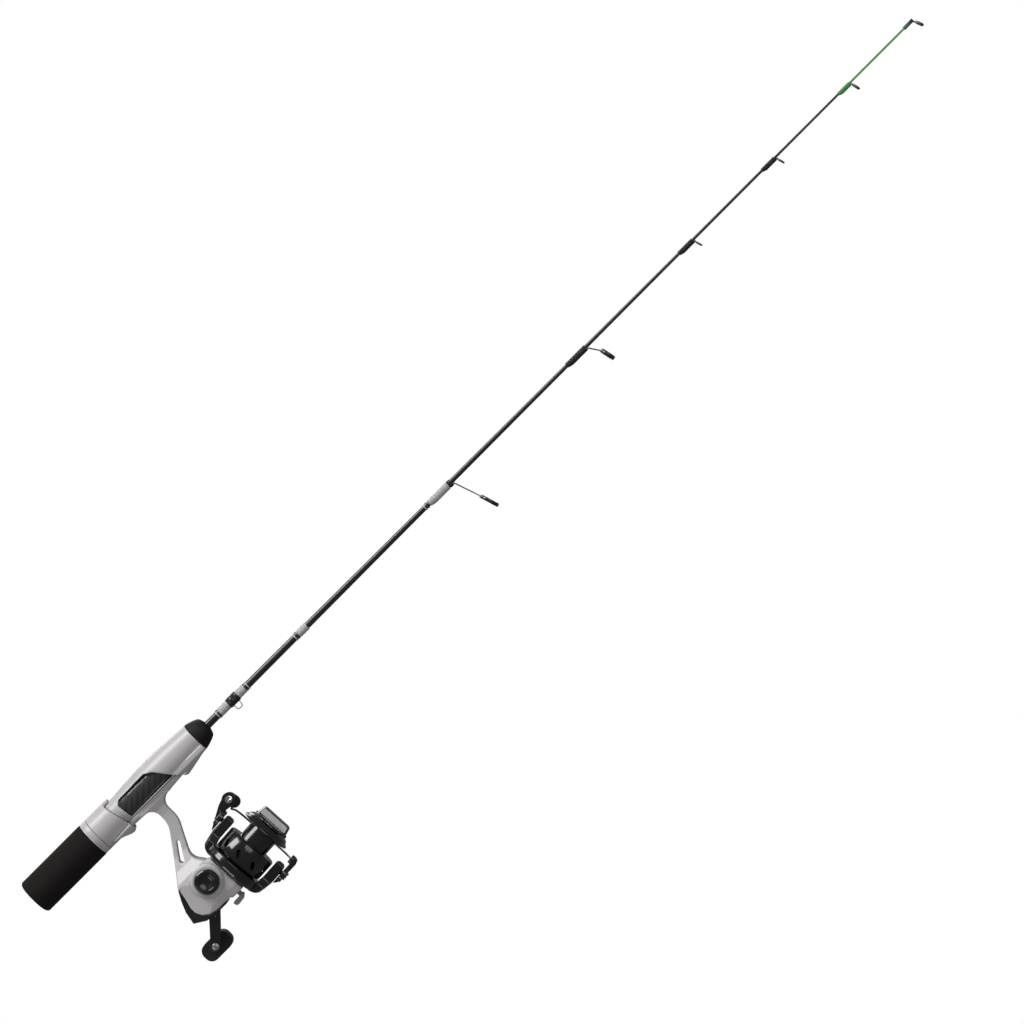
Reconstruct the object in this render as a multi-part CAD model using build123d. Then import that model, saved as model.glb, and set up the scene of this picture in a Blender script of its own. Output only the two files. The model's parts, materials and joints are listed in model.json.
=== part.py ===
"""Ice fishing rod with a spinning reel, in millimetres.

+X runs from the butt to the tip, +Z points away from the reel, and the crank is on the +Y side.
The origin is the centre of the grip's rear end, on the rod's axis. Pieces that turn with the spool
are drawn in the reel's own frame, where +X is the spool's axis, and are placed by REEL.
"""
from build123d import *
from math import asin, cos, hypot, pi, radians, sin, sqrt
import os

os.makedirs("parts", exist_ok=True)

# Clearances
RUN = 0.06  # radial, a shaft in its bearing or bore
SEATED = 0.02  # radial, glued or pressed pieces of one body
GAP = 0.3  # pieces of different bodies that pass each other

# Rod
ROD_LENGTH = 762.0
BUTT_R = 2.55  # blank where it leaves the nose cone
TIP_R = 0.7
TAPER_POWER = 1.6
BLANK_STATIONS = 12
BLANK_START = 62.0
TIP_SECTION_L = 64.0
SPIGOT_L = 8.0
SPIGOT_R = 0.35
WRAP_T = 0.45

# Handle
GRIP_L = 51.5
GRIP_EDGE = 1.2
GRIP_END_WALL = 4.0
COLLAR_L = 4.4
SLEEVE_INTO_GRIP = 14.0
THREAD_PITCH = 2.0
THREAD_DEPTH = 0.4
HOOD_L = 19.4
HOOD_LEAN = 4.6  # how far the hood's front edge leans between its top and its foot
PRONG_W = 8.0
PRONG_T = 1.7
SEAT_L = 84.0
SEAT_FLAT_Y = 10.1  # flat sides behind the front hood
FRONT_HOOD_L = 24.4
FOOT_INTO_SEAT = 6.0
BARREL_R = 6.8
BARREL_WALL = 1.6
PANEL_R = BARREL_R + 2.2  # the barrel's wide front part, which shows in the windows
SLEEVE_R = BARREL_R + 1.8  # the radii of the handle follow from the barrel inside it
NUT_TUBE_R = SLEEVE_R + 0.9
GRIP_R = NUT_TUBE_R + 2.5
COLLAR_R = GRIP_R - 0.2
HOOD_R = SLEEVE_R + 3.2
HOOD_LIP_R = HOOD_R + 3.0
SEAT_HEEL_R = SLEEVE_R + 0.9
SEAT_END_R = BARREL_R + 3.0
SEAT_BELLY_R = BARREL_R + 4.7
SEAT_LIP_R = SEAT_END_R + 3.4
SPACER_L = 20.0
SADDLE_T = 0.75
NOSE_L = 10.6

# Trims, measured forward from the nose cone
KEEPER_TRIM = 8.4
MIDDLE_TRIM = 75.6
RING_L = 0.8
TRIM_STEP = 1.5
BAND_L = 7.4
KEEPER_WRAP_L = 7.9
KEEPER_WIRE_R = 0.33
KEEPER_W = 4.6
KEEPER_DROP = 3.9

# Guides: distance of the foot's front end from the tip, foot length, ring drop below the rod's axis,
# ring reach beyond the foot, ring radius, ring thickness and forward lean in degrees
GUIDES = (
    (399.7, 19.5, 24.9, 7.9, 6.4, 2.4, 16.7),
    (283.0, 16.7, 12.7, 6.0, 5.0, 2.6, 11.9),
    (190.2, 12.3, 4.0, 0.7, 2.8, 0.9, 15.0),
    (118.8, 11.6, 3.9, 0.8, 2.8, 0.9, 14.0),
    (54.1, 10.0, 4.3, 0.9, 2.9, 1.2, 12.0),
)
FOOT_WIRE_R = 0.42
RING_WALL = 0.8
LEG_SPREAD = 36
LEG_START = 0.35
WRAP_BACK = 0.5  # a wrap stops this far behind the guide's legs
GUIDES_WITH_INSERT = 2
INSERT_WALL = 0.55
TIP_TUBE_L = 7.1
TIP_TUBE_WALL = 0.45
TIP_RING = (4.4, 1.7, 3.0, 1.4, 20.0)  # drop, reach, radius, thickness, lean

# Reel foot, stem and body
FOOT_W = 13.0
FOOT_T = 2.6
STEM_X = 94.6  # middle of the stem at the foot
STEM_HALF_L = 3.5
STEM_FILLET = 6.5
GEAR_X, GEAR_Z = 84.2, -67.6
AXIS_DROP = 5.97  # spool axis below the gear's axis
AXIS_TILT = 3.2
BODY_HALF_W = 13.5
BODY_WALL = 2.2
SPLIT_Y = 6.0
BODY_FRONT = 11.7  # in the reel's frame, as all the lengths below
NOSE_R = 9.0
NOSE_TO = 17.6
BOSS_R = 9.7
BOSS_T = 1.1
CAP_R = 7.85
CAP_T = 4.6
SCREW_R = 1.0
SCREW_HEAD_R = 1.8

# Gears and shafts
SHAFT_R = 1.5
SHAFT_FROM, SHAFT_TO = -15.0, 54.0
GEAR_SHAFT_R = 3.0
CRANK_SHAFT_R = 1.8
BEARING_R = 5.5
BEARING_T = 3.0
DRIVE_TEETH, DRIVE_R, DRIVE_T = 36, 8.2, 2.4
PINION_TEETH, PINION_R = 7, 3.4
PINION_TUBE_R = 2.85
PINION_GEAR_FROM, PINION_GEAR_TO = 3.0, 7.4
PINION_BEARING_R, PINION_BEARING_T = 6.0, 4.0
TRANSFER_TEETH, TRANSFER_R = 13, 4.15
SWING_TEETH, SWING_R = 17, 5.5
SWING_X, SWING_Z = 75.4, -72.4
SWING_T = 2.4
SWING_PIN_AT = 3.75
SWING_PIN_R = 0.9
STUD_R = 1.2
SLIDER_L = 6.0
SLIDER_DROP = 3.2
LEVER_SHAFT_R = 0.8
LEVER_SHAFT_DROP = 10.3
RATCHET_R = 6.6
RATCHET_TEETH = 12

# Rotor and bail
ROTOR_BACK = 12.3
ROTOR_CAVITY_R = 12.2
ROTOR_HOLE_R = 11.8
DRUM_R = 13.6
ROTOR_FACE = 19.2
DRUM_TO = 28.0
ARM_TO = 37.8
ARM_HALF_W = 4.8
ARM_ROOT_HALF_W = 7.6
NUT_R, NUT_T = 5.0, 2.8
HINGE_U = 33.0
HINGE_SCREW_R = 1.5
HINGE_HEAD_R = 2.6
BAIL_T = 3.0
BAIL_HUB_R = 5.2
ROLLER_R = 3.4
ROLLER_L = 5.0
ROLLER_BORE = 1.9
ROLLER_SCREW_R = 1.2
CHEEK_R = 4.4
CHEEK_T = 1.7
WIRE_R = 0.65
WIRE_U = 40.4
BOSS_U = 43.3
BOSS_PIN_R = 2.9

# Spool and drag
SKIRT_R = 16.7
ROTOR_RIM_R = SKIRT_R + 2.8  # the rotor and the bail follow from the skirt that they pass
ARM_IN_R = SKIRT_R + 1.6
ARM_OUT_R = ARM_IN_R + 5.9
ROLLER_U, ROLLER_W = 45.5, ARM_OUT_R + 5.4
SKIRT_FROM = 20.3
SKIRT_WALL = 1.0
ARBOR_FROM, ARBOR_TO = 34.2, 45.2
ARBOR_R = 9.9
LIP_R = SKIRT_R - 0.3
SPOOL_FRONT = 49.8
POCKET_R = 9.2
POCKET_FLOOR = 44.6
PORTS = 9
STROKE = 7.5
WASHER_T = 0.6
KNOB_R = 12.3
KNOB_TOP_R = 10.3
KNOB_BACK = SPOOL_FRONT + GAP
KNOB_FRONT = 57.2
KNOB_STEP = 1.5
BAR_HALF_W = 4.8
INSERT_T = 0.8

# Crank
CRANK_DX, CRANK_DZ = -30.9, -33.0
CRANK_Y = 37.0
CRANK_T = 4.0
CRANK_HUB_W = 8.0
CRANK_END_W = 6.6
KNOB_PIN_R = 2.0
PADDLE_L, PADDLE_W, PADDLE_H = 20.9, 12.2, 16.4

# Places that follow from the sizes
COLLAR_FRONT = GRIP_L + 0.1 + COLLAR_L
HOOD_BACK = COLLAR_FRONT + 0.2
HOOD_FRONT = HOOD_BACK + HOOD_L
SEAT_FRONT = HOOD_BACK + SEAT_L
NOSE_FRONT = SEAT_FRONT + NOSE_L
SADDLE_Z = -(BARREL_R + 0.05 + SADDLE_T)
FOOT_TOP = SADDLE_Z - 0.05
FOOT_FROM = HOOD_FRONT - 4.0
WINDOW_END = SEAT_FRONT - FRONT_HOOD_L
FOOT_L = WINDOW_END + FOOT_INTO_SEAT - FOOT_FROM
AXIS_Z = GEAR_Z - AXIS_DROP
REEL = Location((GEAR_X, 0, AXIS_Z), (0, -AXIS_TILT, 0))
CRANK_END = (GEAR_X + CRANK_DX, GEAR_Z + CRANK_DZ)
WIRE_SWING = KNOB_FRONT + STROKE - HINGE_U + WIRE_R + 0.8  # the open wire passes the drag knob
WIRE_APEX = sqrt(WIRE_SWING**2 - (WIRE_U - HINGE_U) ** 2)
ALL = 400.0  # longer than any cut


def lathe(points):
    """Solid of revolution about X from an outline of (x, r) points."""
    face = Plane.XZ * make_face(Polyline(*points, close=True))
    return revolve(face, Axis.X, 360)


def lathe_y(points, x, z):
    """Solid of revolution about a line along Y through (x, z), from (y, r) points."""
    turned = lathe(points)
    return Location((x, 0, z)) * (Location((0, 0, 0), (0, 0, 90)) * turned)


def tube(x0, x1, r_out, r_in=0.0):
    """Tube or rod along X."""
    return lathe([(x0, r_in), (x0, r_out), (x1, r_out), (x1, r_in)])


def tube_y(x, z, y0, y1, r_out, r_in=0.0):
    """Tube or rod along Y."""
    return lathe_y([(y0, r_in), (y0, r_out), (y1, r_out), (y1, r_in)], x, z)


def tube_z(x, y, z0, z1, r_out, r_in=0.0):
    """Tube or rod along Z."""
    body = Location((x, y, (z0 + z1) / 2)) * Cylinder(r_out, z1 - z0)
    if r_in:
        body -= Location((x, y, (z0 + z1) / 2)) * Cylinder(r_in, z1 - z0 + 2)
    return body


def side_plane(y):
    """Plane across Y, with X and Z as its axes."""
    return Plane(origin=(0, y, 0), x_dir=(1, 0, 0), z_dir=(0, -1, 0))


def slab(outline, y0, y1):
    """An (x, z) outline, given as points or as a face, from y0 to y1."""
    flat = outline if isinstance(outline, Sketch) else make_face(Polyline(*outline, close=True))
    return extrude(side_plane(y0) * flat, amount=y1 - y0, dir=(0, 1, 0))


def across(outline, x0, x1):
    """A (y, z) outline from x0 to x1."""
    plane = Plane(origin=(x0, 0, 0), x_dir=(0, 1, 0), z_dir=(1, 0, 0))
    return extrude(plane * make_face(Polyline(*outline, close=True)), amount=x1 - x0)


def upright(outline, z0, z1):
    """An (x, y) outline from z0 to z1."""
    plane = Plane(origin=(0, 0, z0))
    return extrude(plane * make_face(Polyline(*outline, close=True)), amount=z1 - z0)


def block(x, y, z):
    """Box between two bounds on each axis."""
    size = [b - a for a, b in (x, y, z)]
    middle = [(a + b) / 2 for a, b in (x, y, z)]
    return Location(tuple(middle)) * Box(*size)


def bar(start, end, r):
    """Round bar between two points."""
    line = Vector(*end) - Vector(*start)
    plane = Plane(origin=start, z_dir=line)
    return extrude(plane * Circle(r), amount=line.length)


def link(p, r_p, q, r_q):
    """Face of a flat link with round ends."""
    dx, dz = q[0] - p[0], q[1] - p[1]
    length = hypot(dx, dz)
    lean = asin((r_p - r_q) / length)
    along = (dx / length, dz / length)
    side = (-along[1], along[0])
    corners = []
    for sign, centre, r in ((1, p, r_p), (1, q, r_q), (-1, q, r_q), (-1, p, r_p)):
        a, b = r * sin(lean), sign * r * cos(lean)
        corners.append((centre[0] + a * along[0] + b * side[0], centre[1] + a * along[1] + b * side[1]))
    ends = Pos(*p) * Circle(r_p) + Pos(*q) * Circle(r_q)
    return make_face(Polyline(*corners, close=True)) + ends


def gear_face(teeth, r_tip, depth):
    """Toothed outline with straight flanks."""
    step = 2 * pi / teeth
    points = []
    for i in range(teeth):
        for share, r in ((-0.30, r_tip - depth), (-0.14, r_tip), (0.14, r_tip), (0.30, r_tip - depth)):
            angle = (i + share) * step
            points.append((r * cos(angle), r * sin(angle)))
    return make_face(Polyline(*points, close=True))


def gear_y(teeth, r_tip, depth, x, z, y0, y1):
    """Spur gear about a line along Y."""
    return slab(Pos(x, z) * gear_face(teeth, r_tip, depth), y0, y1)


def gear_x(teeth, r_tip, depth, x0, x1):
    """Spur gear about the X axis."""
    return extrude(Plane(origin=(x0, 0, 0), z_dir=(1, 0, 0)) * gear_face(teeth, r_tip, depth), amount=x1 - x0)


# Rod


def blank_stations():
    """(x, r) stations of the tapered blank from the nose cone to the tip."""
    run = ROD_LENGTH - NOSE_FRONT
    stations = []
    for i in range(BLANK_STATIONS + 1):
        t = i / BLANK_STATIONS
        stations.append((NOSE_FRONT + t * run, TIP_R + (BUTT_R - TIP_R) * (1 - t) ** TAPER_POWER))
    return stations


def blank_r(x):
    """Radius of the blank at x, straight between its stations."""
    stations = blank_stations()
    if x <= stations[0][0]:
        return BUTT_R
    for (xa, ra), (xb, rb) in zip(stations, stations[1:]):
        if x <= xb:
            return ra + (rb - ra) * (x - xa) / (xb - xa)
    return TIP_R


def blank_between(x0, x1, grow=0.0):
    """The blank's solid from x0 to x1, thicker by grow."""
    inner = [(x, r + grow) for x, r in blank_stations() if x0 < x < x1]
    ends = [(x0, blank_r(x0) + grow)], [(x1, blank_r(x1) + grow)]
    return lathe([(x0, 0)] + ends[0] + inner + ends[1] + [(x1, 0)])


def make_blank():
    """Blank and the tip section that is spliced to it."""
    splice = ROD_LENGTH - TIP_SECTION_L
    end = ROD_LENGTH - 2.0
    blank = blank_between(BLANK_START, splice) - tube(splice - SPIGOT_L, splice, SPIGOT_R + SEATED)
    tip = blank_between(splice, end) + tube(splice - SPIGOT_L, splice + 1, SPIGOT_R)
    return {"rod_blank": blank, "tip_section": tip}


def sleeve_on_blank(x0, x1, thickness):
    """Thread wrap or ring around the blank."""
    outer = tube(x0, x1, blank_r(x0) + thickness)
    return outer - blank_between(x0 - 1, x1 + 1, SEATED)


def foot_line(x_front, length):
    """Start and end of a guide's foot under the blank."""
    z = -(blank_r(x_front - length) + SEATED + FOOT_WIRE_R)
    return (x_front - length + 1.5, 0, z), (x_front, 0, z)


def wrap_over_foot(x_front, length, x0=None, x1=None):
    """Thread wrap that covers the blank and a guide's foot."""
    x0 = x_front - length if x0 is None else x0
    x1 = x_front if x1 is None else x1
    (_, _, z), _ = foot_line(x_front, length)
    under = Location((0, 0, z)) * tube(x0 + 2.0, x1, FOOT_WIRE_R + WRAP_T)
    cover = tube(x0, x1, blank_r(x0) + WRAP_T) + under
    foot = Location((0, 0, z)) * tube(x_front - length, x_front + 1, FOOT_WIRE_R + SEATED)
    return cover - blank_between(x0 - 1, x1 + 1, SEATED) - foot


def ring_place(x, drop, lean):
    """Location whose X axis is a guide ring's own axis."""
    return Location((x, 0, -drop), (0, -lean, 0))


def guide_ring(x, drop, r, thickness, lean):
    """Ring of a guide, its insert, and the location whose X axis is the ring's own."""
    inner = r - RING_WALL
    place = ring_place(x, drop, lean)
    half, edge = thickness / 2, min(0.3, thickness / 4)
    outline = [(-half, inner), (-half, r - edge), (edge - half, r), (half - edge, r), (half, r - edge), (half, inner)]
    core = inner - INSERT_WALL
    insert = lathe([(-half, core + edge), (-half, inner - SEATED), (half, inner - SEATED), (half, core + edge), (0, core)])
    return place * lathe(outline), place * insert, place


def guide_legs(start, place, r):
    """Two legs from a point under the blank to the shoulders of a guide's ring."""
    legs = []
    for side in (-1, 1):
        angle, at = radians(LEG_SPREAD * side), r - RING_WALL / 2
        end = (place * Location((0, at * sin(angle), at * cos(angle)))).position
        legs.append(bar(start, (end.X, end.Y, end.Z), RING_WALL / 2))
    return legs[0] + legs[1]


def make_guides():
    """Five guides on two legs each, the tall ones with a ring insert, and the tip-top."""
    nodes = {}
    for i, (from_tip, length, drop, reach, r, thickness, lean) in enumerate(GUIDES, 1):
        front = ROD_LENGTH - from_tip
        foot_start, foot_end = foot_line(front, length)
        frame, insert, place = guide_ring(front + reach, drop, r, thickness, lean)
        leg_start = (front + LEG_START, 0, foot_end[2])
        foot = bar(foot_start, (front + 2 * LEG_START, 0, foot_end[2]), FOOT_WIRE_R)
        frame += foot + guide_legs(leg_start, place, r)
        nodes[f"guide_frame_{i}"] = frame - place * tube(-ALL, ALL, r - RING_WALL)
        if i <= GUIDES_WITH_INSERT:
            nodes[f"guide_ring_{i}"] = insert
    drop, reach, r, thickness, lean = TIP_RING
    frame, _, place = guide_ring(ROD_LENGTH + reach, drop, r, thickness, lean)
    bore = blank_r(ROD_LENGTH - TIP_TUBE_L) + SEATED
    frame += tube(ROD_LENGTH - TIP_TUBE_L, ROD_LENGTH + 0.4, bore + TIP_TUBE_WALL)
    frame -= tube(ROD_LENGTH - TIP_TUBE_L - 1, ROD_LENGTH - 1.5, bore)
    frame += guide_legs((ROD_LENGTH - 0.6, 0, -0.4), place, r)
    nodes["tip_top"] = frame - place * tube(-ALL, ALL, r - RING_WALL)
    return nodes


def make_trims():
    """Trim rings, thread wraps and the hook keeper."""
    k, m = NOSE_FRONT + KEEPER_TRIM, NOSE_FRONT + MIDDLE_TRIM
    g_front, g_length = ROD_LENGTH - GUIDES[0][0], GUIDES[0][1]
    band = k + 2.2
    keeper = band + BAND_L
    second = keeper + KEEPER_WRAP_L
    after = second + 6.5
    g_band = g_front - 3.3 - 16.2
    pale = (k, after + TRIM_STEP, m, g_band - 3.9)
    grey = (k + 1.0, after, m + TRIM_STEP, g_band - 2.1)
    pale_rings = [sleeve_on_blank(x, x + RING_L, WRAP_T) for x in pale]
    grey_rings = [sleeve_on_blank(x, x + RING_L + 0.2, WRAP_T) for x in grey]
    bands = [
        sleeve_on_blank(band, keeper - 0.05, WRAP_T),
        sleeve_on_blank(second, after - 0.3, WRAP_T),
        sleeve_on_blank(m + 2 * TRIM_STEP, m + 2 * TRIM_STEP + BAND_L, WRAP_T),
        wrap_over_foot(g_front, g_length, g_band, g_front - 3.35),
    ]
    black = [wrap_over_foot(g_front, g_length, g_front - 3.3, g_front - WRAP_BACK)]
    for from_tip, length, *_ in GUIDES[1:4]:
        black.append(wrap_over_foot(ROD_LENGTH - from_tip, length, None, ROD_LENGTH - from_tip - WRAP_BACK))
    tip_front = ROD_LENGTH - GUIDES[4][0]
    loop_z = -(blank_r(keeper) + SEATED + KEEPER_WIRE_R)
    middle = keeper + KEEPER_WRAP_L / 2
    half = KEEPER_W / 2
    path = FilletPolyline(
        (keeper + 0.3, 0, loop_z),
        (middle - half, 0, loop_z),
        (middle - half * 0.8, 0, loop_z - KEEPER_DROP),
        (middle + half * 0.8, 0, loop_z - KEEPER_DROP),
        (middle + half, 0, loop_z),
        (second - 0.3, 0, loop_z),
        radius=[0.6, 1.2, 1.2, 0.6],
    )
    hook = sweep(Plane(origin=path @ 0, z_dir=path % 0) * Circle(KEEPER_WIRE_R), path=path)
    groove = Location((0, 0, loop_z)) * tube(keeper - 1, second + 1, KEEPER_WIRE_R + SEATED)
    keeper_wrap = sleeve_on_blank(keeper, second - 0.05, 2 * KEEPER_WIRE_R + 0.25) - groove
    slot = block((middle - half - 0.8, middle + half + 0.8), (-0.5, 0.5), (-ALL, loop_z))
    return {
        "pale_rings": Compound(pale_rings),
        "grey_rings": Compound(grey_rings),
        "white_wraps": Compound(bands),
        "black_wraps": Compound(black + [keeper_wrap - slot]),
        "green_wrap": wrap_over_foot(tip_front, GUIDES[4][1], None, tip_front - WRAP_BACK),
        "hook_keeper": hook,
    }


# Handle


def make_grip():
    """Foam grip and the nut with its collar, which turn together."""
    bore = NUT_TUBE_R + SEATED
    grip = lathe(
        [
            (0, 0), (0, GRIP_R - 1.5 * GRIP_EDGE), (0.4 * GRIP_EDGE, GRIP_R - 0.5 * GRIP_EDGE),
            (1.6 * GRIP_EDGE, GRIP_R),
            (GRIP_L - 0.5, GRIP_R), (GRIP_L, GRIP_R - 0.5), (GRIP_L, bore), (GRIP_END_WALL, bore),
            (GRIP_END_WALL, 0),
        ]
    )
    inner = SLEEVE_R + RUN
    nut = lathe(
        [
            (GRIP_END_WALL + 0.1, inner), (GRIP_END_WALL + 0.1, NUT_TUBE_R), (GRIP_L + 0.1, NUT_TUBE_R),
            (GRIP_L + 0.1, COLLAR_R - 0.3), (GRIP_L + 0.4, COLLAR_R), (COLLAR_FRONT - 0.3, COLLAR_R),
            (COLLAR_FRONT, COLLAR_R - 0.3), (COLLAR_FRONT, inner),
        ]
    )
    return {"rear_grip": grip, "lock_nut": nut}


def hood_edge(offset):
    """(x, z) outline behind the hood's leaning front edge, moved forward by offset."""
    slope = HOOD_LEAN / 20.0
    z_low = -ALL / 10
    x_at = HOOD_FRONT - HOOD_LEAN + offset
    return [(0, ALL / 10), (x_at - slope * (ALL / 10 - 8.0), ALL / 10), (x_at + slope * (8.0 - z_low), z_low), (0, z_low)]


def make_hood():
    """Sliding hood with its prong and its pocket for the reel's foot."""
    bore = SLEEVE_R + RUN
    shell = tube(HOOD_BACK, HOOD_FRONT, HOOD_R, bore)
    lip = slab(
        [
            (HOOD_BACK + 4, -HOOD_R + 1.5), (HOOD_BACK + 11, -HOOD_LIP_R + 2.2),
            (HOOD_BACK + 15, -HOOD_LIP_R + 0.3),
            (HOOD_FRONT - 2.4, -HOOD_LIP_R), (HOOD_FRONT - 0.2, -HOOD_LIP_R + 1.8),
            (HOOD_FRONT, -SLEEVE_R - 0.5),
        ],
        -HOOD_R + 1.5,
        HOOD_R - 1.5,
    )
    lip &= tube(HOOD_BACK, HOOD_FRONT, HOOD_LIP_R, bore)
    hood = (shell + lip) & slab(hood_edge(0.0), -ALL, ALL)
    prong = tube(HOOD_BACK + 1, HOOD_FRONT - 1.0, HOOD_R, HOOD_R - PRONG_T)
    prong &= block((HOOD_BACK, HOOD_FRONT), (-PRONG_W / 2, PRONG_W / 2), (0, HOOD_R + 1))
    pocket = block(
        (FOOT_FROM - GAP, HOOD_FRONT + 1),
        (-FOOT_W / 2 - GAP, FOOT_W / 2 + GAP),
        (FOOT_TOP - FOOT_T - 2.4, SADDLE_Z + GAP),
    )
    return {"locking_hood": hood + prong - pocket}


def wide_barrel(end, grow):
    """Wide part of the carbon barrel, flat underneath where the reel's foot lies, grown for the seat's bore."""
    wide = tube(HOOD_FRONT + 0.8 - grow, end, PANEL_R + grow)
    return wide & block((0, 2 * ALL), (-ALL, ALL), (-BARREL_R - grow, ALL))


def make_seat():
    """Seat body, carbon barrel, the two spacers round the blank and the nose cone."""
    bore = BARREL_R + 0.05
    back = HOOD_BACK + 10
    run = SEAT_FRONT - HOOD_FRONT
    belly = HOOD_FRONT + run * 0.54
    shell = lathe(
        [
            (back, 0), (back, SEAT_HEEL_R), (HOOD_FRONT, SEAT_HEEL_R + 0.2),
            (HOOD_FRONT + run * 0.23, SEAT_BELLY_R - 0.7),
            (belly - 10, SEAT_BELLY_R - 0.2), (belly, SEAT_BELLY_R), (belly + 10, SEAT_BELLY_R - 0.2),
            (SEAT_FRONT - 10, SEAT_END_R + 0.8), (SEAT_FRONT, SEAT_END_R), (SEAT_FRONT, 0),
        ]
    )
    lip = slab(
        [
            (SEAT_FRONT - 26, -6), (SEAT_FRONT - 21.5, -SEAT_LIP_R + 1.8), (SEAT_FRONT - 19.2, -SEAT_LIP_R),
            (SEAT_FRONT - 15, -SEAT_LIP_R + 0.8), (SEAT_FRONT - 5, -SEAT_END_R - 0.4),
            (SEAT_FRONT, -SEAT_END_R + 0.1),
            (SEAT_FRONT, -6),
        ],
        -SEAT_END_R,
        SEAT_END_R,
    )
    shell += lip & tube(back, SEAT_FRONT, SEAT_LIP_R)
    shell -= slab(hood_edge(GAP), -ALL, ALL)
    shell += tube(GRIP_L - SLEEVE_INTO_GRIP + 6, HOOD_FRONT + 4, SLEEVE_R)
    x_edge = WINDOW_END
    shell -= slab([(back, SADDLE_Z), (x_edge, SADDLE_Z), (x_edge + 3.6, -12.4), (x_edge + 3.6, -ALL), (back, -ALL)], -ALL, ALL)
    pocket_end = FOOT_FROM + FOOT_L + 0.3
    half = FOOT_W / 2 + GAP
    shell -= block((x_edge - 5, pocket_end), (-half, half), (FOOT_TOP - FOOT_T - 1.2, SADDLE_Z))
    flank = [
        (back, ALL), (x_edge - 13.5, ALL), (x_edge - 12.8, 9.0), (x_edge - 9.8, 5.2),
        (x_edge + 3.2, SADDLE_Z - 4.6),
        (x_edge + 3.2, -ALL), (back, -ALL),
    ]
    shell -= slab(flank, -ALL, -SEAT_FLAT_Y) + slab(flank, SEAT_FLAT_Y, ALL)
    low = SADDLE_Z + 0.7
    window = [
        (HOOD_FRONT + 2.2, 3.6), (HOOD_FRONT + 4.6, 5.9), (x_edge - 13.5, 6.3), (x_edge - 8.9, 3.4),
        (x_edge - 0.8, low),
        (HOOD_FRONT + 3.4, low),
    ]
    window_face = make_face(FilletPolyline(*window, radius=[1.5, 2.5, 3.0, 3.5, 0.3, 0.6], close=True))
    shell -= slab(window_face, -ALL, ALL)
    shell -= tube(0, ALL, bore) + wide_barrel(ALL, 0.05)
    for i in range(5):
        x = HOOD_BACK - 3 - i * THREAD_PITCH
        shell -= tube(x, x + THREAD_PITCH / 2, SLEEVE_R + 1, SLEEVE_R - THREAD_DEPTH)
    barrel_in = BARREL_R - BARREL_WALL
    barrel = tube(GRIP_L - SLEEVE_INTO_GRIP + 7, SEAT_FRONT - 0.1, BARREL_R) + wide_barrel(SEAT_FRONT - 0.1, 0)
    barrel -= tube(0, ALL, barrel_in)
    spacers = []
    for x in (BLANK_START + 2, SEAT_FRONT - SPACER_L - 1):
        spacers.append(tube(x, x + SPACER_L, barrel_in - SEATED, BUTT_R + SEATED))
    nose = lathe(
        [
            (SEAT_FRONT + 0.1, BUTT_R + SEATED), (SEAT_FRONT + 0.1, SEAT_END_R - 0.3),
            (SEAT_FRONT + 0.5, SEAT_END_R),
            (NOSE_FRONT - 4.8, 0.83 * SEAT_END_R), (NOSE_FRONT - 1.9, 0.7 * SEAT_END_R),
            (NOSE_FRONT - 1.2, 0.6 * SEAT_END_R),
            (NOSE_FRONT - 0.2, BUTT_R + 0.9), (NOSE_FRONT, BUTT_R + SEATED),
        ]
    )
    return {"seat_body": shell, "carbon_barrel": barrel, "blank_spacers": Compound(spacers), "nose_cone": nose}


# Reel body


def body_outline():
    """(x, z) outline of the white gear case."""
    g, h = GEAR_X, GEAR_Z
    return [
        (g - 15.2, h + 10.6), (g - 12.2, h + 13.6), (g + 2.0, h + 13.6), (g + 4.4, h + 11.4),
        (g + 6.8, h + 10.0),
        (g + 11.3, h + 8.1), (g + 13, h - 18.2), (g + 3.8, h - 18.2), (g + 2.8, h - 16.9),
        (g - 7.2, h - 16.7),
        (g - 13.2, h - 15.4), (g - 17.2, h - 12.4), (g - 19.2, h - 8.4), (g - 19.2, h - 4.4),
        (g - 17.9, h - 0.2),
        (g - 16.4, h + 7.1),
    ]


def cavity_outline():
    """(x, z) outline of the space for the gears."""
    g, h = GEAR_X, GEAR_Z
    w = BODY_WALL
    return [
        (g - 14.6 + w / 2, h + 9.4), (g + 4, h + 9.6), (g + 8.4, h + 6.0), (g + 8.6, h - 16.9 + w),
        (g - 7.2, h - 16.7 + w),
        (g - 12.4, h - 15.4 + w), (g - 17.2 + w, h - 11.4), (g - 19.2 + w, h - 8.0),
        (g - 19.2 + w, h - 4.8),
        (g - 17.9 + w, h - 0.2),
    ]


def front_view():
    """(y, z) outline of foot, stem and case seen along X."""
    h = GEAR_Z
    rows = [
        (FOOT_W / 2, FOOT_TOP), (FOOT_W / 2, FOOT_TOP - FOOT_T - 0.8), (4.4, -15.6), (3.8, -20.0),
        (3.8, -36.0), (4.6, -44.0),
        (7.6, -51.0), (12.0, h + 10.6), (BODY_HALF_W, h + 6.0), (BODY_HALF_W, h - 13.0),
        (BODY_HALF_W - 1.2, h - 16.6),
        (BODY_HALF_W - 2.4, h - 19.0),
    ]
    return rows + [(-w, z) for w, z in reversed(rows)]


def plan_view():
    """(x, y) outline of the case seen from above, narrower behind."""
    g, w = GEAR_X, BODY_HALF_W
    return [(g - 26, w - 4), (g - 17, w - 1.6), (g - 9, w), (g + 40, w), (g + 40, -w), (g - 9, -w), (g - 17, 1.6 - w), (g - 26, 4 - w)]


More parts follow.
